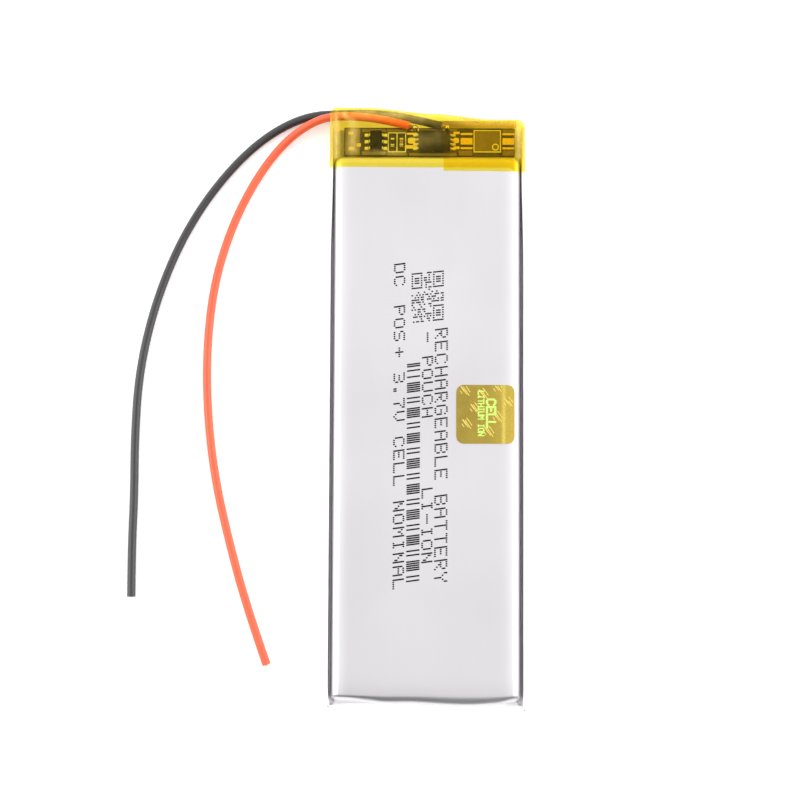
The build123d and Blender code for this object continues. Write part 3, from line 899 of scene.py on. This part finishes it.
class CELL_OT_pouch(bpy.types.Operator):
    """Makes the front and back of the foil pouch"""
    bl_idname = "cell.make_pouch"
    bl_label = "Make Pouch"

    def execute(self, context):
        settings = context.scene.cell_pouch
        half = settings.cup_half_width / MM
        film = settings.film / MM
        front = bmesh.new()
        cup_shell(front, half, settings.shoulder / MM, film)
        y_places = steps(BACK_LOW.y + 0.3, CUP_HIGH.y, 1.6)
        for side in (-1, 1):
            flange(front, side, film, y_places)
        shape_seams(front)
        terrace(front, half)
        piece = new_piece("pouch_front", front, laminate, ["pouch_cup"])
        give_wall(piece, film * 0.9)
        smooth_finely(piece, 1)
        back = back_sheet(settings.seam_fold / MM, settings.seam_lip / MM, film)
        piece = new_piece("pouch_rear", back, laminate, ["pouch_back"])
        give_wall(piece, film * 0.9)
        smooth_finely(piece, 1)
        return {"FINISHED"}


# ---------------------------------------------------------------- tape

def tape_end(x):
    """Where the tape ends along the cell: further out over the leads, in two falls."""
    over_leads = 0.8 * (1 - ease(x, -9.0, 1.0)) + 0.7 * (1 - ease(x, 1.5, 9.5))
    return 40.95 + over_leads - 0.5 * ease(abs(x), 13.0, 13.8)


def ridge(x, y, start, end, width, height):
    """A crease from one point to another: its height at a place, fading towards its ends."""
    start, end = Vector(start), Vector(end)
    here = Vector((x, y))
    along = (here - start).dot(end - start) / (end - start).length_squared
    held = min(1.0, max(0.0, along))
    off = (here - start - (end - start) * held).length
    fade = ease(held, 0.0, 0.2) * (1 - ease(held, 0.8, 1.0))
    return height * math.exp(-((off / width) ** 2)) * (0.25 + 0.75 * fade)


CREASES = [
    ((-12.75, 41.0), (-13.0, 34.4), 0.2, 0.2),
    ((-12.0, 41.3), (-9.8, 39.55), 0.22, 0.16),
    ((-10.7, 39.4), (-10.85, 36.1), 0.16, 0.2),
    ((-9.85, 39.4), (-9.7, 36.4), 0.14, 0.12),
    ((-11.6, 38.2), (-10.2, 36.6), 0.2, 0.12),
    ((12.9, 40.1), (12.75, 35.2), 0.25, 0.14),
    ((2.4, 40.1), (5.2, 39.7), 0.18, 0.12),
    ((-8.4, 36.0), (-5.6, 36.3), 0.16, 0.06),
    ((3.4, 36.6), (6.6, 35.9), 0.22, 0.08),
]


# Pale bands of painted highlight on the tape: start, end, width and strength of each, along folds, creases and the
# tight sides.
PAINTED_HIGHLIGHT_BANDS = [
    ((-13.0, 41.9), (-12.9, 33.0), 0.3, 0.55),
    ((-13.75, 41.9), (-13.75, 33.0), 0.2, 0.35),
    ((-12.2, 41.6), (-10.1, 39.6), 0.32, 0.4),
    ((-10.5, 39.9), (-10.6, 35.4), 0.55, 0.28),
    ((13.0, 41.0), (13.0, 33.5), 0.35, 0.45),
    ((12.6, 40.9), (9.5, 40.9), 0.5, 0.15),
    ((-12.5, 41.9), (1.5, 41.0), 0.7, 0.28),
    ((1.5, 41.4), (8.0, 41.0), 0.3, 0.35),
    ((-2.6, 37.2), (2.4, 38.2), 0.8, 0.07),
    ((-8.8, 35.8), (-3.0, 35.7), 0.25, 0.1),
]


def tape_height(x, y):
    """Outer face of the tape over the front: over the cup's shoulder, down on to the chips, then closed."""
    wrinkle = bpy.context.scene.cell_tape.wrinkle / MM
    over_cup = FACE_Z + 0.09
    on_chips = 3.32
    on_seams = 3.68
    middle = over_cup + (on_chips - over_cup) * ease(y, 34.5, 36.4)
    sides = over_cup + (on_seams - over_cup) * ease(y, 34.6, 35.8)
    height = middle + (sides - middle) * ease(abs(x), 11.9, 13.3)
    end = tape_end(x)
    over_leads = 1 - ease(x, -3.0, 6.0)
    closing = 1.5 - 0.5 * over_leads
    height -= closing * ease(y, 39.5 + 1.3 * over_leads, end + 0.5)
    loose = ease(y, 34.9, 36.0)
    height += loose * wrinkle * (ripple(x, y, 1.5, 3.0) + 0.5 * ripple(x, y, 0.6, 6.0))
    height += loose * sum(ridge(x, y, *crease) for crease in CREASES)
    fall_on_cup = face_height(max(-12.2, min(12.2, x)), min(y, 34.0)) - FACE_Z
    return height + fall_on_cup * (1 - loose)


def tape_sleeve():
    """One turn of tape as a sleeve: open towards the foot, closed past the board, with a mouth for the leads."""
    bm = bmesh.new()
    low_y = TAPE_LOW.y - 0.05
    top = FACE_Z + 0.09
    block(bm, (TAPE_LOW.x, low_y, 0), (TAPE_HIGH.x, TAPE_HIGH.y, top))
    opening = [face for face in bm.faces if face.normal.y < -0.5]
    bmesh.ops.delete(bm, geom=opening, context="FACES")
    round_off(bm, [edge for edge in bm.edges if not edge.is_boundary], 0.5, 4)
    slice_up(bm, 0, steps(TAPE_LOW.x + 0.6, TAPE_HIGH.x - 0.6, 0.35))
    slice_up(bm, 1, steps(low_y + 0.3, TAPE_HIGH.y - 0.6, 0.3))
    slice_up(bm, 2, (0.9, 1.5, 2.1, 2.7, 3.3))
    mouth = [face for face in bm.faces if in_mouth(face.calc_center_median())]
    bmesh.ops.delete(bm, geom=mouth, context="FACES")
    bmesh.ops.recalc_face_normals(bm, faces=bm.faces)
    for vertex in bm.verts:
        x, y, z = vertex.co
        if y > 36:
            y = 36 + (y - 36) * (tape_end(x) - 36) / (TAPE_HIGH.y - 36)
        z *= tape_height(x, y) / top
        pinch = ease(y, tape_end(x) - 1.0, tape_end(x)) * ease(x, 2.0, 8.0)
        z += (1.6 - z) * 0.7 * pinch
        y -= open_edge_drop(x, z) * (1 - ease(y, TAPE_LOW.y - 0.1, TAPE_LOW.y + 0.9))
        vertex.co = (x, y, z)
    mark_painted_highlights(bm)
    return bm


def open_edge_drop(x, z):
    """The strip was wound on a slant, so that its edge stands lower on the right and at the back."""
    lower = OVERLAP_LOW.y + 0.02 - TAPE_LOW.y
    at_back = -lower * (x - TAPE_LOW.x) / (TAPE_HIGH.x - TAPE_LOW.x)
    on_front = -lower * ease(x, 11.7, 12.3) + 0.05 * ease(x, -13.0, 2.0)
    return on_front if z > 0.6 else at_back


def mark_painted_highlights(bm):
    """Stores at every vertex how much painted highlight the film gets: pale bands along creases, loose folds and the
    tight sides.
    """
    layer = bm.verts.layers.float.new(PAINTED_HIGHLIGHT_LAYER)
    for vertex in bm.verts:
        x, y, z = vertex.co
        if z > 0.6:
            painted_paleness = sum(ridge(x, y, start, end, width * 1.2, share) for start, end, width, share in PAINTED_HIGHLIGHT_BANDS)
            vertex[layer] = min(0.6, painted_paleness) * ease(y, 34.4, 35.6)


def in_mouth(point):
    """The opening in the tape's side where the leads come out."""
    return point.x < TAPE_LOW.x + 0.3 and point.y > 40.2 and 0.3 < point.z < 3.3


def second_layer(thickness):
    """The tape's overlapping end on the front."""
    bm = bmesh.new()
    low = Vector((OVERLAP_LOW.x, OVERLAP_LOW.y - 0.02, 0))
    high = Vector((12.6, 39.8, 0))
    place = Matrix.LocRotScale((low + high) / 2, None, ((high.x - low.x) / 2, (high.y - low.y) / 2, 1))
    made = bmesh.ops.create_grid(bm, x_segments=34, y_segments=26, size=1.0, matrix=place)["verts"]
    for vertex in made:
        x, y, _ = vertex.co
        y += 0.05 * ripple(x, 3, 3.0, 2.0) * (1 - ease(y, low.y, low.y + 1))
        lap = thickness * 1.4 * ease(y, TAPE_LOW.y - 0.35, TAPE_LOW.y + 0.05)
        resting = tape_height(x, y) - 0.03
        vertex.co = (x, y, resting + lap)
    mark_painted_highlights(bm)
    aim_faces(bm, bm.faces[:], (0, 0, 1))
    return bm


def folded_end():
    """The strip's own end, tucked in past the board under the closed end."""
    bm = bmesh.new()
    place = Matrix.LocRotScale((6.5, 40.25, 1.5), None, (6.2, 0.5, 1))
    made = bmesh.ops.create_grid(bm, x_segments=24, y_segments=3, size=1.0, matrix=place)["verts"]
    for vertex in made:
        vertex.co.z += 0.05 * ripple(vertex.co.x, vertex.co.y, 1.3, 1.5)
    aim_faces(bm, bm.faces[:], (0, 0, 1))
    mark_painted_highlights(bm)
    return bm


class CELL_OT_tape(bpy.types.Operator):
    """Makes the amber tape round the header and its overlapping end"""
    bl_idname = "cell.make_tape"
    bl_label = "Make Tape"

    def execute(self, context):
        thickness = context.scene.cell_tape.thickness / MM
        sleeve = new_piece("amber_tape", tape_sleeve(), amber_film, ["tape_wrap"])
        give_wall(sleeve, thickness)
        smooth_finely(sleeve, 1)
        lap = new_piece("amber_tape_overlap", second_layer(thickness), amber_film, ["tape_overlap"])
        give_wall(lap, thickness)
        smooth_finely(lap, 1)
        fold = new_piece("amber_tape_fold", folded_end(), amber_fold)
        give_wall(fold, thickness)
        return {"FINISHED"}


# ---------------------------------------------------------------- board

MASK_Z = BOARD_HIGH.z
COPPER = 0.02

COPPER_AREAS = [
    ((-11.7, 35.65), (-9.6, 39.45)), ((-9.3, 35.65), (-5.9, 36.2)), ((-9.3, 38.95), (-5.9, 39.45)),
    ((-5.8, 35.6), (-2.85, 35.95)), ((-5.8, 39.0), (-2.85, 39.45)), ((-2.6, 35.6), (4.2, 35.95)),
    ((-1.2, 36.3), (3.2, 37.1)), ((-1.2, 37.7), (3.2, 38.4)), ((-2.6, 39.15), (4.2, 39.5)),
    ((4.45, 35.65), (6.4, 36.35)), ((6.75, 36.3), (10.3, 39.1)), ((10.7, 38.95), (12.3, 39.45)),
    ((10.7, 35.65), (12.3, 36.4)),
]

EXTRA_LANDS = [
    (-2.2, 38.75, 1.5, 0.28), (-2.25, 37.75, 1.05, 0.85), (-2.3, 36.85, 1.8, 0.5),
    (0.9, 36.3, 4.0, 0.16), (-10.9, 38.8, 0.7, 0.45), (-10.8, 36.6, 0.8, 0.5), (-9.75, 37.1, 0.6, 0.5),
    (4.15, 38.9, 0.9, 0.35), (4.1, 37.8, 0.8, 0.75), (4.15, 36.75, 0.9, 0.4),
]


def plate(bm, low, high, base_z, height, corner):
    """A thin plate with rounded upright corners."""
    verts = block(bm, (*low, base_z), (*high, base_z + height))
    edges = {edge for vertex in verts for edge in vertex.link_edges}
    upright = [edge for edge in edges if abs(edge.verts[0].co.z - edge.verts[1].co.z) > height / 2]
    round_off(bm, upright, corner, 3)


def line_frame(bm, low, high, width, base_z, height):
    """A printed outline: a flat frame, raised a little."""
    mesh = bmesh.new()
    size = Vector(high) - Vector(low)
    middle = (Vector(high) + Vector(low)) / 2
    place = Matrix.LocRotScale((middle.x, middle.y, base_z), None, (size.x / 2, size.y / 2, 1))
    bmesh.ops.create_grid(mesh, x_segments=1, y_segments=1, size=1.0, matrix=place)
    bmesh.ops.inset_region(mesh, faces=mesh.faces[:], thickness=width, use_even_offset=True, use_boundary=True)
    inner = min(mesh.faces, key=lambda face: (face.calc_center_median() - place.translation).length)
    bmesh.ops.delete(mesh, geom=[inner], context="FACES_ONLY")
    raise_flat(mesh, height)
    merge_into(bm, mesh)


def ring(bm, centre, radius, width, base_z, height):
    """A printed ring, raised a little."""
    mesh = bmesh.new()
    place = Matrix.Translation((*centre, base_z))
    bmesh.ops.create_circle(mesh, cap_ends=True, segments=28, radius=radius, matrix=place)
    bmesh.ops.inset_region(mesh, faces=mesh.faces[:], thickness=width, use_even_offset=True, use_boundary=True)
    inner = max(mesh.faces, key=lambda face: len(face.verts))
    bmesh.ops.delete(mesh, geom=[inner], context="FACES_ONLY")
    raise_flat(mesh, height)
    merge_into(bm, mesh)


def raise_flat(bm, height):
    """Gives a flat outline its thickness upwards."""
    bmesh.ops.solidify(bm, geom=bm.faces[:], thickness=height)
    bmesh.ops.recalc_face_normals(bm, faces=bm.faces)


def merge_into(bm, other):
    """Adds one mesh to another."""
    carrier = bpy.data.meshes.new("carrier")
    other.to_mesh(carrier)
    other.free()
    bm.from_mesh(carrier)
    bpy.data.meshes.remove(carrier)


class CELL_OT_board(bpy.types.Operator):
    """Makes the protection board's copper, lands and printed outlines"""
    bl_idname = "cell.make_board"
    bl_label = "Make Board Details"

    def execute(self, context):
        copper = bmesh.new()
        for low, high in COPPER_AREAS:
            plate(copper, low, high, MASK_Z - 0.002, COPPER, 0.12)
        new_piece("board_copper", copper, copper_under_mask)
        lands = softened("board_pads", 0.012, 1)
        for x, y, width, height in EXTRA_LANDS:
            low = (x - width / 2, y - height / 2)
            high = (x + width / 2, y + height / 2)
            plate(lands, low, high, MASK_Z - 0.002, 0.035, min(width, height) * 0.3)
        new_piece("board_lands", lands, gold_land, ["board_pads"])
        silk = bmesh.new()
        line_frame(silk, (-5.61, 36.06), (-3.03, 38.93), 0.13, MASK_Z + 0.02, 0.015)
        plate(silk, (-4.39, 36.15), (-4.25, 38.85), MASK_Z + 0.02, 0.015, 0.03)
        line_frame(silk, (6.57, 36.1), (10.48, 39.32), 0.15, MASK_Z + 0.02, 0.015)
        ring(silk, (9.69, 36.88), 0.5, 0.16, MASK_Z + 0.02, 0.015)
        new_piece("board_outlines", silk, silk_ink)
        return {"FINISHED"}


class CELL_OT_components(bpy.types.Operator):
    """Makes the chips, the small parts and the metal around the board with softened edges"""
    bl_idname = "cell.make_components"
    bl_label = "Make Components"

    def execute(self, context):
        for node, (make_finish, slot, radius) in SOFTENED_NODES.items():
            new_piece(f"{node}_piece", softened(node, radius), make_finish, [node])
        for node in ("protection_chip", "switch_chip"):
            low, high = node_box(node)
            body = softened(node, 0.04)
            mark = (high.x - 0.55, low.y + 0.6) if node == "protection_chip" else (low.x + 3.4, low.y + 1.6)
            size = 0.22 if node == "protection_chip" else 0.42
            ring(body, mark, size, size * 0.4, high.z - 0.004, 0.014)
            new_piece(f"{node}_body", body, chip_mould, [node])
        return {"FINISHED"}


class CELL_OT_solder(bpy.types.Operator):
    """Makes the two solder joints of the leads"""
    bl_idname = "cell.make_solder"
    bl_label = "Make Solder Joints"

    def execute(self, context):
        for pole in ("negative", "positive"):
            low, high = node_box(f"solder_{pole}")
            middle = ((low.x + high.x) / 2, (low.y + high.y) / 2, low.z)
            wide = (high.x - low.x) / 2
            tall = high.z - low.z
            profile = [
                (0, 0), (wide * 1.15, 0), (wide * 0.98, tall * 0.14), (wide * 0.82, tall * 0.4),
                (wide * 0.72, tall * 0.7), (wide * 0.5, tall * 0.92), (0, tall),
            ]
            drop = bmesh.new()
            spun(drop, profile, middle)
            bmesh.ops.recalc_face_normals(drop, faces=drop.faces)
            piece = new_piece(f"solder_{pole}_drop", drop, solder, [f"solder_{pole}"], 80)
            smooth_finely(piece, 1)
        return {"FINISHED"}


class CELL_OT_inner_parts(bpy.types.Operator):
    """Gives the winding inside the pouch its finishes"""
    bl_idname = "cell.finish_inner_parts"
    bl_label = "Finish Inner Parts"

    def execute(self, context):
        for node, make_finish in NODE_FINISHES.items():
            for material_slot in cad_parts[node].material_slots:
                material_slot.material = finish_of(make_finish)
        return {"FINISHED"}


# ---------------------------------------------------------------- print and label

GLYPHS = {
    "A": ".###./#...#/#...#/#####/#...#/#...#/#...#",
    "B": "####./#...#/#...#/####./#...#/#...#/####.",
    "C": ".###./#...#/#..../#..../#..../#...#/.###.",
    "D": "####./#...#/#...#/#...#/#...#/#...#/####.",
    "E": "#####/#..../#..../####./#..../#..../#####",
    "G": ".###./#...#/#..../#.###/#...#/#...#/.###.",
    "H": "#...#/#...#/#...#/#####/#...#/#...#/#...#",
    "I": ".###./..#../..#../..#../..#../..#../.###.",
    "L": "#..../#..../#..../#..../#..../#..../#####",
    "M": "#...#/##.##/#.#.#/#.#.#/#...#/#...#/#...#",
    "N": "#...#/##..#/##..#/#.#.#/#..##/#..##/#...#",
    "O": ".###./#...#/#...#/#...#/#...#/#...#/.###.",
    "P": "####./#...#/#...#/####./#..../#..../#....",
    "R": "####./#...#/#...#/####./#.#../#..#./#...#",
    "S": ".####/#..../#..../.###./....#/....#/####.",
    "T": "#####/..#../..#../..#../..#../..#../..#..",
    "U": "#...#/#...#/#...#/#...#/#...#/#...#/.###.",
    "V": "#...#/#...#/#...#/#...#/#...#/.#.#./..#..",
    "Y": "#...#/#...#/.#.#./..#../..#../..#../..#..",
    "3": "####./....#/....#/.###./....#/....#/####.",
    "7": "#####/....#/...#./..#../..#../..#../..#..",
    "+": "...../..#../..#../#####/..#../..#../.....",
    "-": "...../...../...../#####/...../...../.....",
    ".": "...../...../...../...../...../.##../.##..",
}
CHARACTER_PITCH = 1.8
COLUMN_PITCH = 0.29

# Printed words: the text, its base line across the cell, its height, and where it starts along the cell
PRINTED = [
    ("RECHARGEABLE BATTERY", 1.11, 1.86, 10.5),
    ("-", -0.68, 1.58, 9.95),
    ("POUCH", -0.68, 1.58, 6.55),
    ("LI-ION", -0.68, 1.58, -11.95),
    ("DC", -4.66, 1.62, 19.7),
    ("POS", -4.66, 1.62, 13.7),
    ("+ 3.7V CELL NOMINAL", -4.66, 1.62, 7.8),
]
BARS_X = (-2.77, -0.90)
BARS_Y = (5.55, -24.9)
BAR_PITCH = 0.297
BAR_RHYTHM = "111110010100"
CODE_X = (-2.18, 2.37)
CODE_Y = (18.86, 11.79)
CODE_CELLS = 21


def lit_dots(text):
    """Column and row of every dot of a text, with rows counted up from its base line."""
    for place, letter in enumerate(text):
        if letter == " ":
            continue
        rows = GLYPHS[letter].split("/")
        for down, row in enumerate(rows):
            for column, mark in enumerate(row):
                if mark == "#":
                    yield place, column, len(rows) - 1 - down


def drop_ink(bm, x, y, radius, lift=0.0, sides=8, thickness=0.022):
    """One drop of ink on the cell's face."""
    spot = Vector((x, y, face_height(x, y) + lift + thickness * 0.2))
    place = Matrix.LocRotScale(spot, None, (1.25, 1, 1))
    bmesh.ops.create_cone(
        bm, cap_ends=True, segments=sides, radius1=radius, radius2=radius * 0.85, depth=thickness, matrix=place,
    )


def print_text(bm, text, base_x, height, start_y, dot, slant, pitch=CHARACTER_PITCH, column=COLUMN_PITCH, lift=0.0):
    """A line of dot print that reads towards the foot, its letters standing towards +X."""
    row_pitch = (height - 2 * dot) / 6
    lit = set(lit_dots(text))
    for place, across, up in sorted(lit):
        rows = [up] if (place, across, up + 1) not in lit else [up, up + 0.5]
        for row in rows:
            x = base_x + dot + row * row_pitch
            y = start_y - dot - place * pitch - across * column + (x - base_x) * slant
            drop_ink(bm, x, y, dot, lift)


def print_bars(bm, dot, slant):
    """A block of plain bars across the cell."""
    count = round((BARS_Y[0] - BARS_Y[1]) / BAR_PITCH)
    for place in range(count):
        inked = place in (0, 1, 3) or (place > 4 and BAR_RHYTHM[(place + 3) % len(BAR_RHYTHM)] == "1")
        if inked:
            for x in steps(BARS_X[0] + dot, BARS_X[1] - dot, 0.15):
                drop_ink(bm, x, BARS_Y[0] - dot - place * BAR_PITCH + (x - BARS_X[0]) * slant, dot)


def corner_square(column, row):
    """Cells of the patterned block that belong to its three corner squares, and whether they are inked."""
    for left, top in ((0, 0), (14, 0), (14, 14)):
        across, down = column - left, row - top
        if -1 <= across <= 7 and -1 <= down <= 7:
            from_middle = max(abs(across - 3), abs(down - 3))
            return from_middle in (0, 1, 3)
    return None


def print_code(bm, dot, slant, seed):
    """A patterned block of random cells with three corner squares. It holds no message."""
    draw = random.Random(seed)
    for row in range(CODE_CELLS):
        for column in range(CODE_CELLS):
            chance = draw.random() < 0.5
            in_square = corner_square(column, row)
            if chance if in_square is None else in_square:
                x = CODE_X[0] + dot + column * (CODE_X[1] - CODE_X[0] - 2 * dot) / (CODE_CELLS - 1)
                y = CODE_Y[0] - dot - row * (CODE_Y[0] - CODE_Y[1] - 2 * dot) / (CODE_CELLS - 1)
                drop_ink(bm, x, y + (x - CODE_X[1]) * slant * 0.75, dot)


class CELL_OT_print(bpy.types.Operator):
    """Prints plain words, bars and a patterned block on the cell's face"""
    bl_idname = "cell.make_print"
    bl_label = "Make Print"

    def execute(self, context):
        settings = context.scene.cell_print
        dot = settings.dot / MM
        slant = math.tan(settings.slant)
        bm = bmesh.new()
        for text, base_x, height, start_y in PRINTED:
            print_text(bm, text, base_x, height, start_y, dot, slant)
        new_piece("ink_words", bm, print_ink)
        bm = bmesh.new()
        print_bars(bm, dot, slant)
        new_piece("ink_bars", bm, print_ink)
        bm = bmesh.new()
        print_code(bm, dot * 0.98, slant, settings.seed)
        new_piece("ink_code", bm, print_ink)
        return {"FINISHED"}


LABEL_THICKNESS = LABEL_HIGH.z - LABEL_LOW.z
SPRIGS = [(5.35, 1.75), (7.9, 1.3), (10.0, 2.1), (6.75, -0.75), (11.5, 0.1), (9.9, -1.9), (5.6, -2.9), (8.7, -4.0)]
SPRIG_STROKES = [(-0.35, 0.35, 0.9), (-0.1, 0.1, 1.3), (0.2, 0.0, 1.5), (0.45, 0.3, 1.1), (-0.5, -0.15, 0.5), (0.1, 0.75, 0.4)]


def label_plate():
    """The gold label: a thin rounded square laid on the soft face."""
    bm = bmesh.new()
    plate(bm, LABEL_LOW.xy, LABEL_HIGH.xy, LABEL_LOW.z, LABEL_THICKNESS, 1.0)
    slice_up(bm, 0, steps(LABEL_LOW.x + 1.1, LABEL_HIGH.x - 1.05, 0.5))
    slice_up(bm, 1, steps(LABEL_LOW.y + 1.1, LABEL_HIGH.y - 1.1, 1.0))
    for vertex in bm.verts:
        vertex.co.z += face_height(vertex.co.x, vertex.co.y) - FACE_Z
    bmesh.ops.recalc_face_normals(bm, faces=bm.faces)
    return bm


def sprig(bm, x, y):
    """A small motif of slanting strokes, kept inside the label's edge."""
    for shift_x, shift_y, reach in SPRIG_STROKES:
        centre = Vector((x + shift_x, y + shift_y))
        inside = min(centre.x - LABEL_LOW.x, LABEL_HIGH.x - centre.x, centre.y - LABEL_LOW.y, LABEL_HIGH.y - centre.y)
        reach = min(reach, 2 * inside - 0.2)
        if reach > 0.2:
            z = face_height(*centre) + LABEL_THICKNESS
            turn = Matrix.Rotation(math.radians(-56), 3, "Z").to_quaternion()
            low = (centre.x - reach / 2, centre.y - 0.055, z - 0.01)
            high = (centre.x + reach / 2, centre.y + 0.055, z + 0.012)
            block(bm, low, high, turn)


class CELL_OT_label(bpy.types.Operator):
    """Makes the gold label, its pattern and its print"""
    bl_idname = "cell.make_label"
    bl_label = "Make Label"

    def execute(self, context):
        new_piece("gold_label_plate", label_plate(), gold_label, ["security_label"])
        motif = bmesh.new()
        for x, y in SPRIGS:
            sprig(motif, x, y)
        new_piece("gold_label_motif", motif, label_light)
        words = bmesh.new()
        print_text(words, "CELL", 8.3, 1.46, 0.75, 0.15, 0.0, 1.05, 0.19, LABEL_THICKNESS + 0.014)
        print_text(words, "LITHIUM ION", 7.15, 0.95, 1.85, 0.09, 0.0, 0.58, 0.11, LABEL_THICKNESS + 0.014)
        new_piece("gold_label_words", words, label_lime)
        return {"FINISHED"}


# ---------------------------------------------------------------- stage

AIM = Vector((-3.722, 0.859, 0.0)) * MM


def make_camera(settings):
    camera = bpy.data.objects.new("camera", bpy.data.cameras.new("camera"))
    bpy.context.scene.collection.objects.link(camera)
    lean = settings.tilt
    camera.matrix_world = (
        Matrix.Translation(AIM + Vector((0, -math.sin(lean), math.cos(lean))) * settings.distance)
        @ Matrix.Rotation(lean, 4, "X")
        @ Matrix.Rotation(settings.roll, 4, "Z")
    )
    camera.data.sensor_width = 36
    camera.data.lens = settings.lens
    camera.data.clip_start = 0.01
    camera.data.clip_end = 10
    bpy.context.scene.camera = camera


def make_floor(settings):
    bm = bmesh.new()
    place = Matrix.LocRotScale((0, 0, -0.05), None, (900, 900, 1))
    bmesh.ops.create_grid(bm, x_segments=1, y_segments=1, size=1.0, matrix=place)
    bmesh.ops.scale(bm, vec=(MM,) * 3, verts=bm.verts)
    mesh = bpy.data.meshes.new("floor")
    bm.to_mesh(mesh)
    bm.free()
    f = Finish("floor")
    tone = f.blend(f.grain(60.0), shade(tuple(settings.floor), 0.985), tuple(settings.floor))
    mesh.materials.append(f.close(f.surface(
        Base_Color=tone, Roughness=0.9, Emission_Color=tuple(settings.floor), Emission_Strength=0.4,
    )))
    floor = bpy.data.objects.new("floor", mesh)
    bpy.context.scene.collection.objects.link(floor)


def make_light(name, place_mm, size_mm, power):
    """A soft rectangular light that faces the cell."""
    data = bpy.data.lights.new(name, "AREA")
    data.shape = "RECTANGLE"
    data.size, data.size_y = (part * MM for part in size_mm)
    data.energy = power
    light = bpy.data.objects.new(name, data)
    light.location = Vector(place_mm) * MM
    light.rotation_euler = (-Vector(place_mm)).to_track_quat("-Z", "Y").to_euler()
    bpy.context.scene.collection.objects.link(light)


def make_sky(strength):
    """A studio sky: bright on both sides, even overhead, and dark beyond the foot."""
    world = bpy.data.worlds.new("studio")
    bpy.context.scene.world = world
    world.use_nodes = True
    nodes, links = world.node_tree.nodes, world.node_tree.links
    nodes.clear()
    direction = nodes.new("ShaderNodeTexCoord")
    parts = nodes.new("ShaderNodeSeparateXYZ")
    links.new(direction.outputs["Generated"], parts.inputs[0])

    def math_node(operation, first, second):
        node = nodes.new("ShaderNodeMath")
        node.operation = operation
        for socket, value in zip(node.inputs, (first, second)):
            if isinstance(value, float):
                socket.default_value = value
            else:
                links.new(value, socket)
        return node.outputs[0]

    def ranged(value, *limits):
        node = nodes.new("ShaderNodeMapRange")
        node.interpolation_type = "SMOOTHSTEP"
        links.new(value, node.inputs[0])
        for index, limit in enumerate(limits, start=1):
            node.inputs[index].default_value = limit
        return node.outputs[0]

    sides = ranged(math_node("ABSOLUTE", parts.outputs["X"], 0.0), 0.06, 0.62, 0.94, 1.5)
    foot = ranged(parts.outputs["Y"], -0.7, -0.12, 0.05, 1.0)
    head = ranged(parts.outputs["Y"], 0.18, 0.5, 1.0, 1.3)
    total = math_node("MULTIPLY", math_node("MULTIPLY", sides, foot), math_node("MULTIPLY", head, strength))
    background = nodes.new("ShaderNodeBackground")
    links.new(total, background.inputs["Strength"])
    output = nodes.new("ShaderNodeOutputWorld")
    links.new(background.outputs[0], output.inputs[0])


class CELL_OT_stage(bpy.types.Operator):
    """Sets the camera, the floor and the lights"""
    bl_idname = "cell.make_stage"
    bl_label = "Make Stage"

    def execute(self, context):
        settings = context.scene.cell_stage
        make_camera(settings)
        make_floor(settings)
        make_light("left_light", (-420, 0, 260), (300, 500), settings.side_light)
        make_light("right_light", (420, 0, 260), (300, 500), settings.side_light)
        make_sky(settings.sky)
        context.scene.view_settings.view_transform = "Standard"
        return {"FINISHED"}


# ---------------------------------------------------------------- add-on

OPERATORS = [
    CELL_OT_stage, CELL_OT_leads, CELL_OT_pouch, CELL_OT_board, CELL_OT_components, CELL_OT_solder,
    CELL_OT_inner_parts, CELL_OT_tape, CELL_OT_print, CELL_OT_label,
]


class CELL_PT_panel(bpy.types.Panel):
    """Lists the cell's pieces and their settings"""
    bl_idname = "CELL_PT_panel"
    bl_label = "Pouch Cell"
    bl_space_type = "VIEW_3D"
    bl_region_type = "UI"
    bl_category = "Pouch Cell"

    def draw(self, context):
        for name, group in SETTINGS.items():
            box = self.layout.box()
            for key in group.__annotations__:
                box.prop(getattr(context.scene, name), key)
        for operator in OPERATORS:
            self.layout.operator(operator.bl_idname)


def register():
    for kind in (*SETTINGS.values(), *OPERATORS, CELL_PT_panel):
        bpy.utils.register_class(kind)
    for name, group in SETTINGS.items():
        setattr(bpy.types.Scene, name, PointerProperty(type=group))


def unregister():
    for name in SETTINGS:
        delattr(bpy.types.Scene, name)
    for kind in reversed((*SETTINGS.values(), *OPERATORS, CELL_PT_panel)):
        bpy.utils.unregister_class(kind)


def main():
    register()
    for operator in OPERATORS:
        group, name = operator.bl_idname.split(".")
        getattr(getattr(bpy.ops, group), name)()


if __name__ == "__main__":
    main()
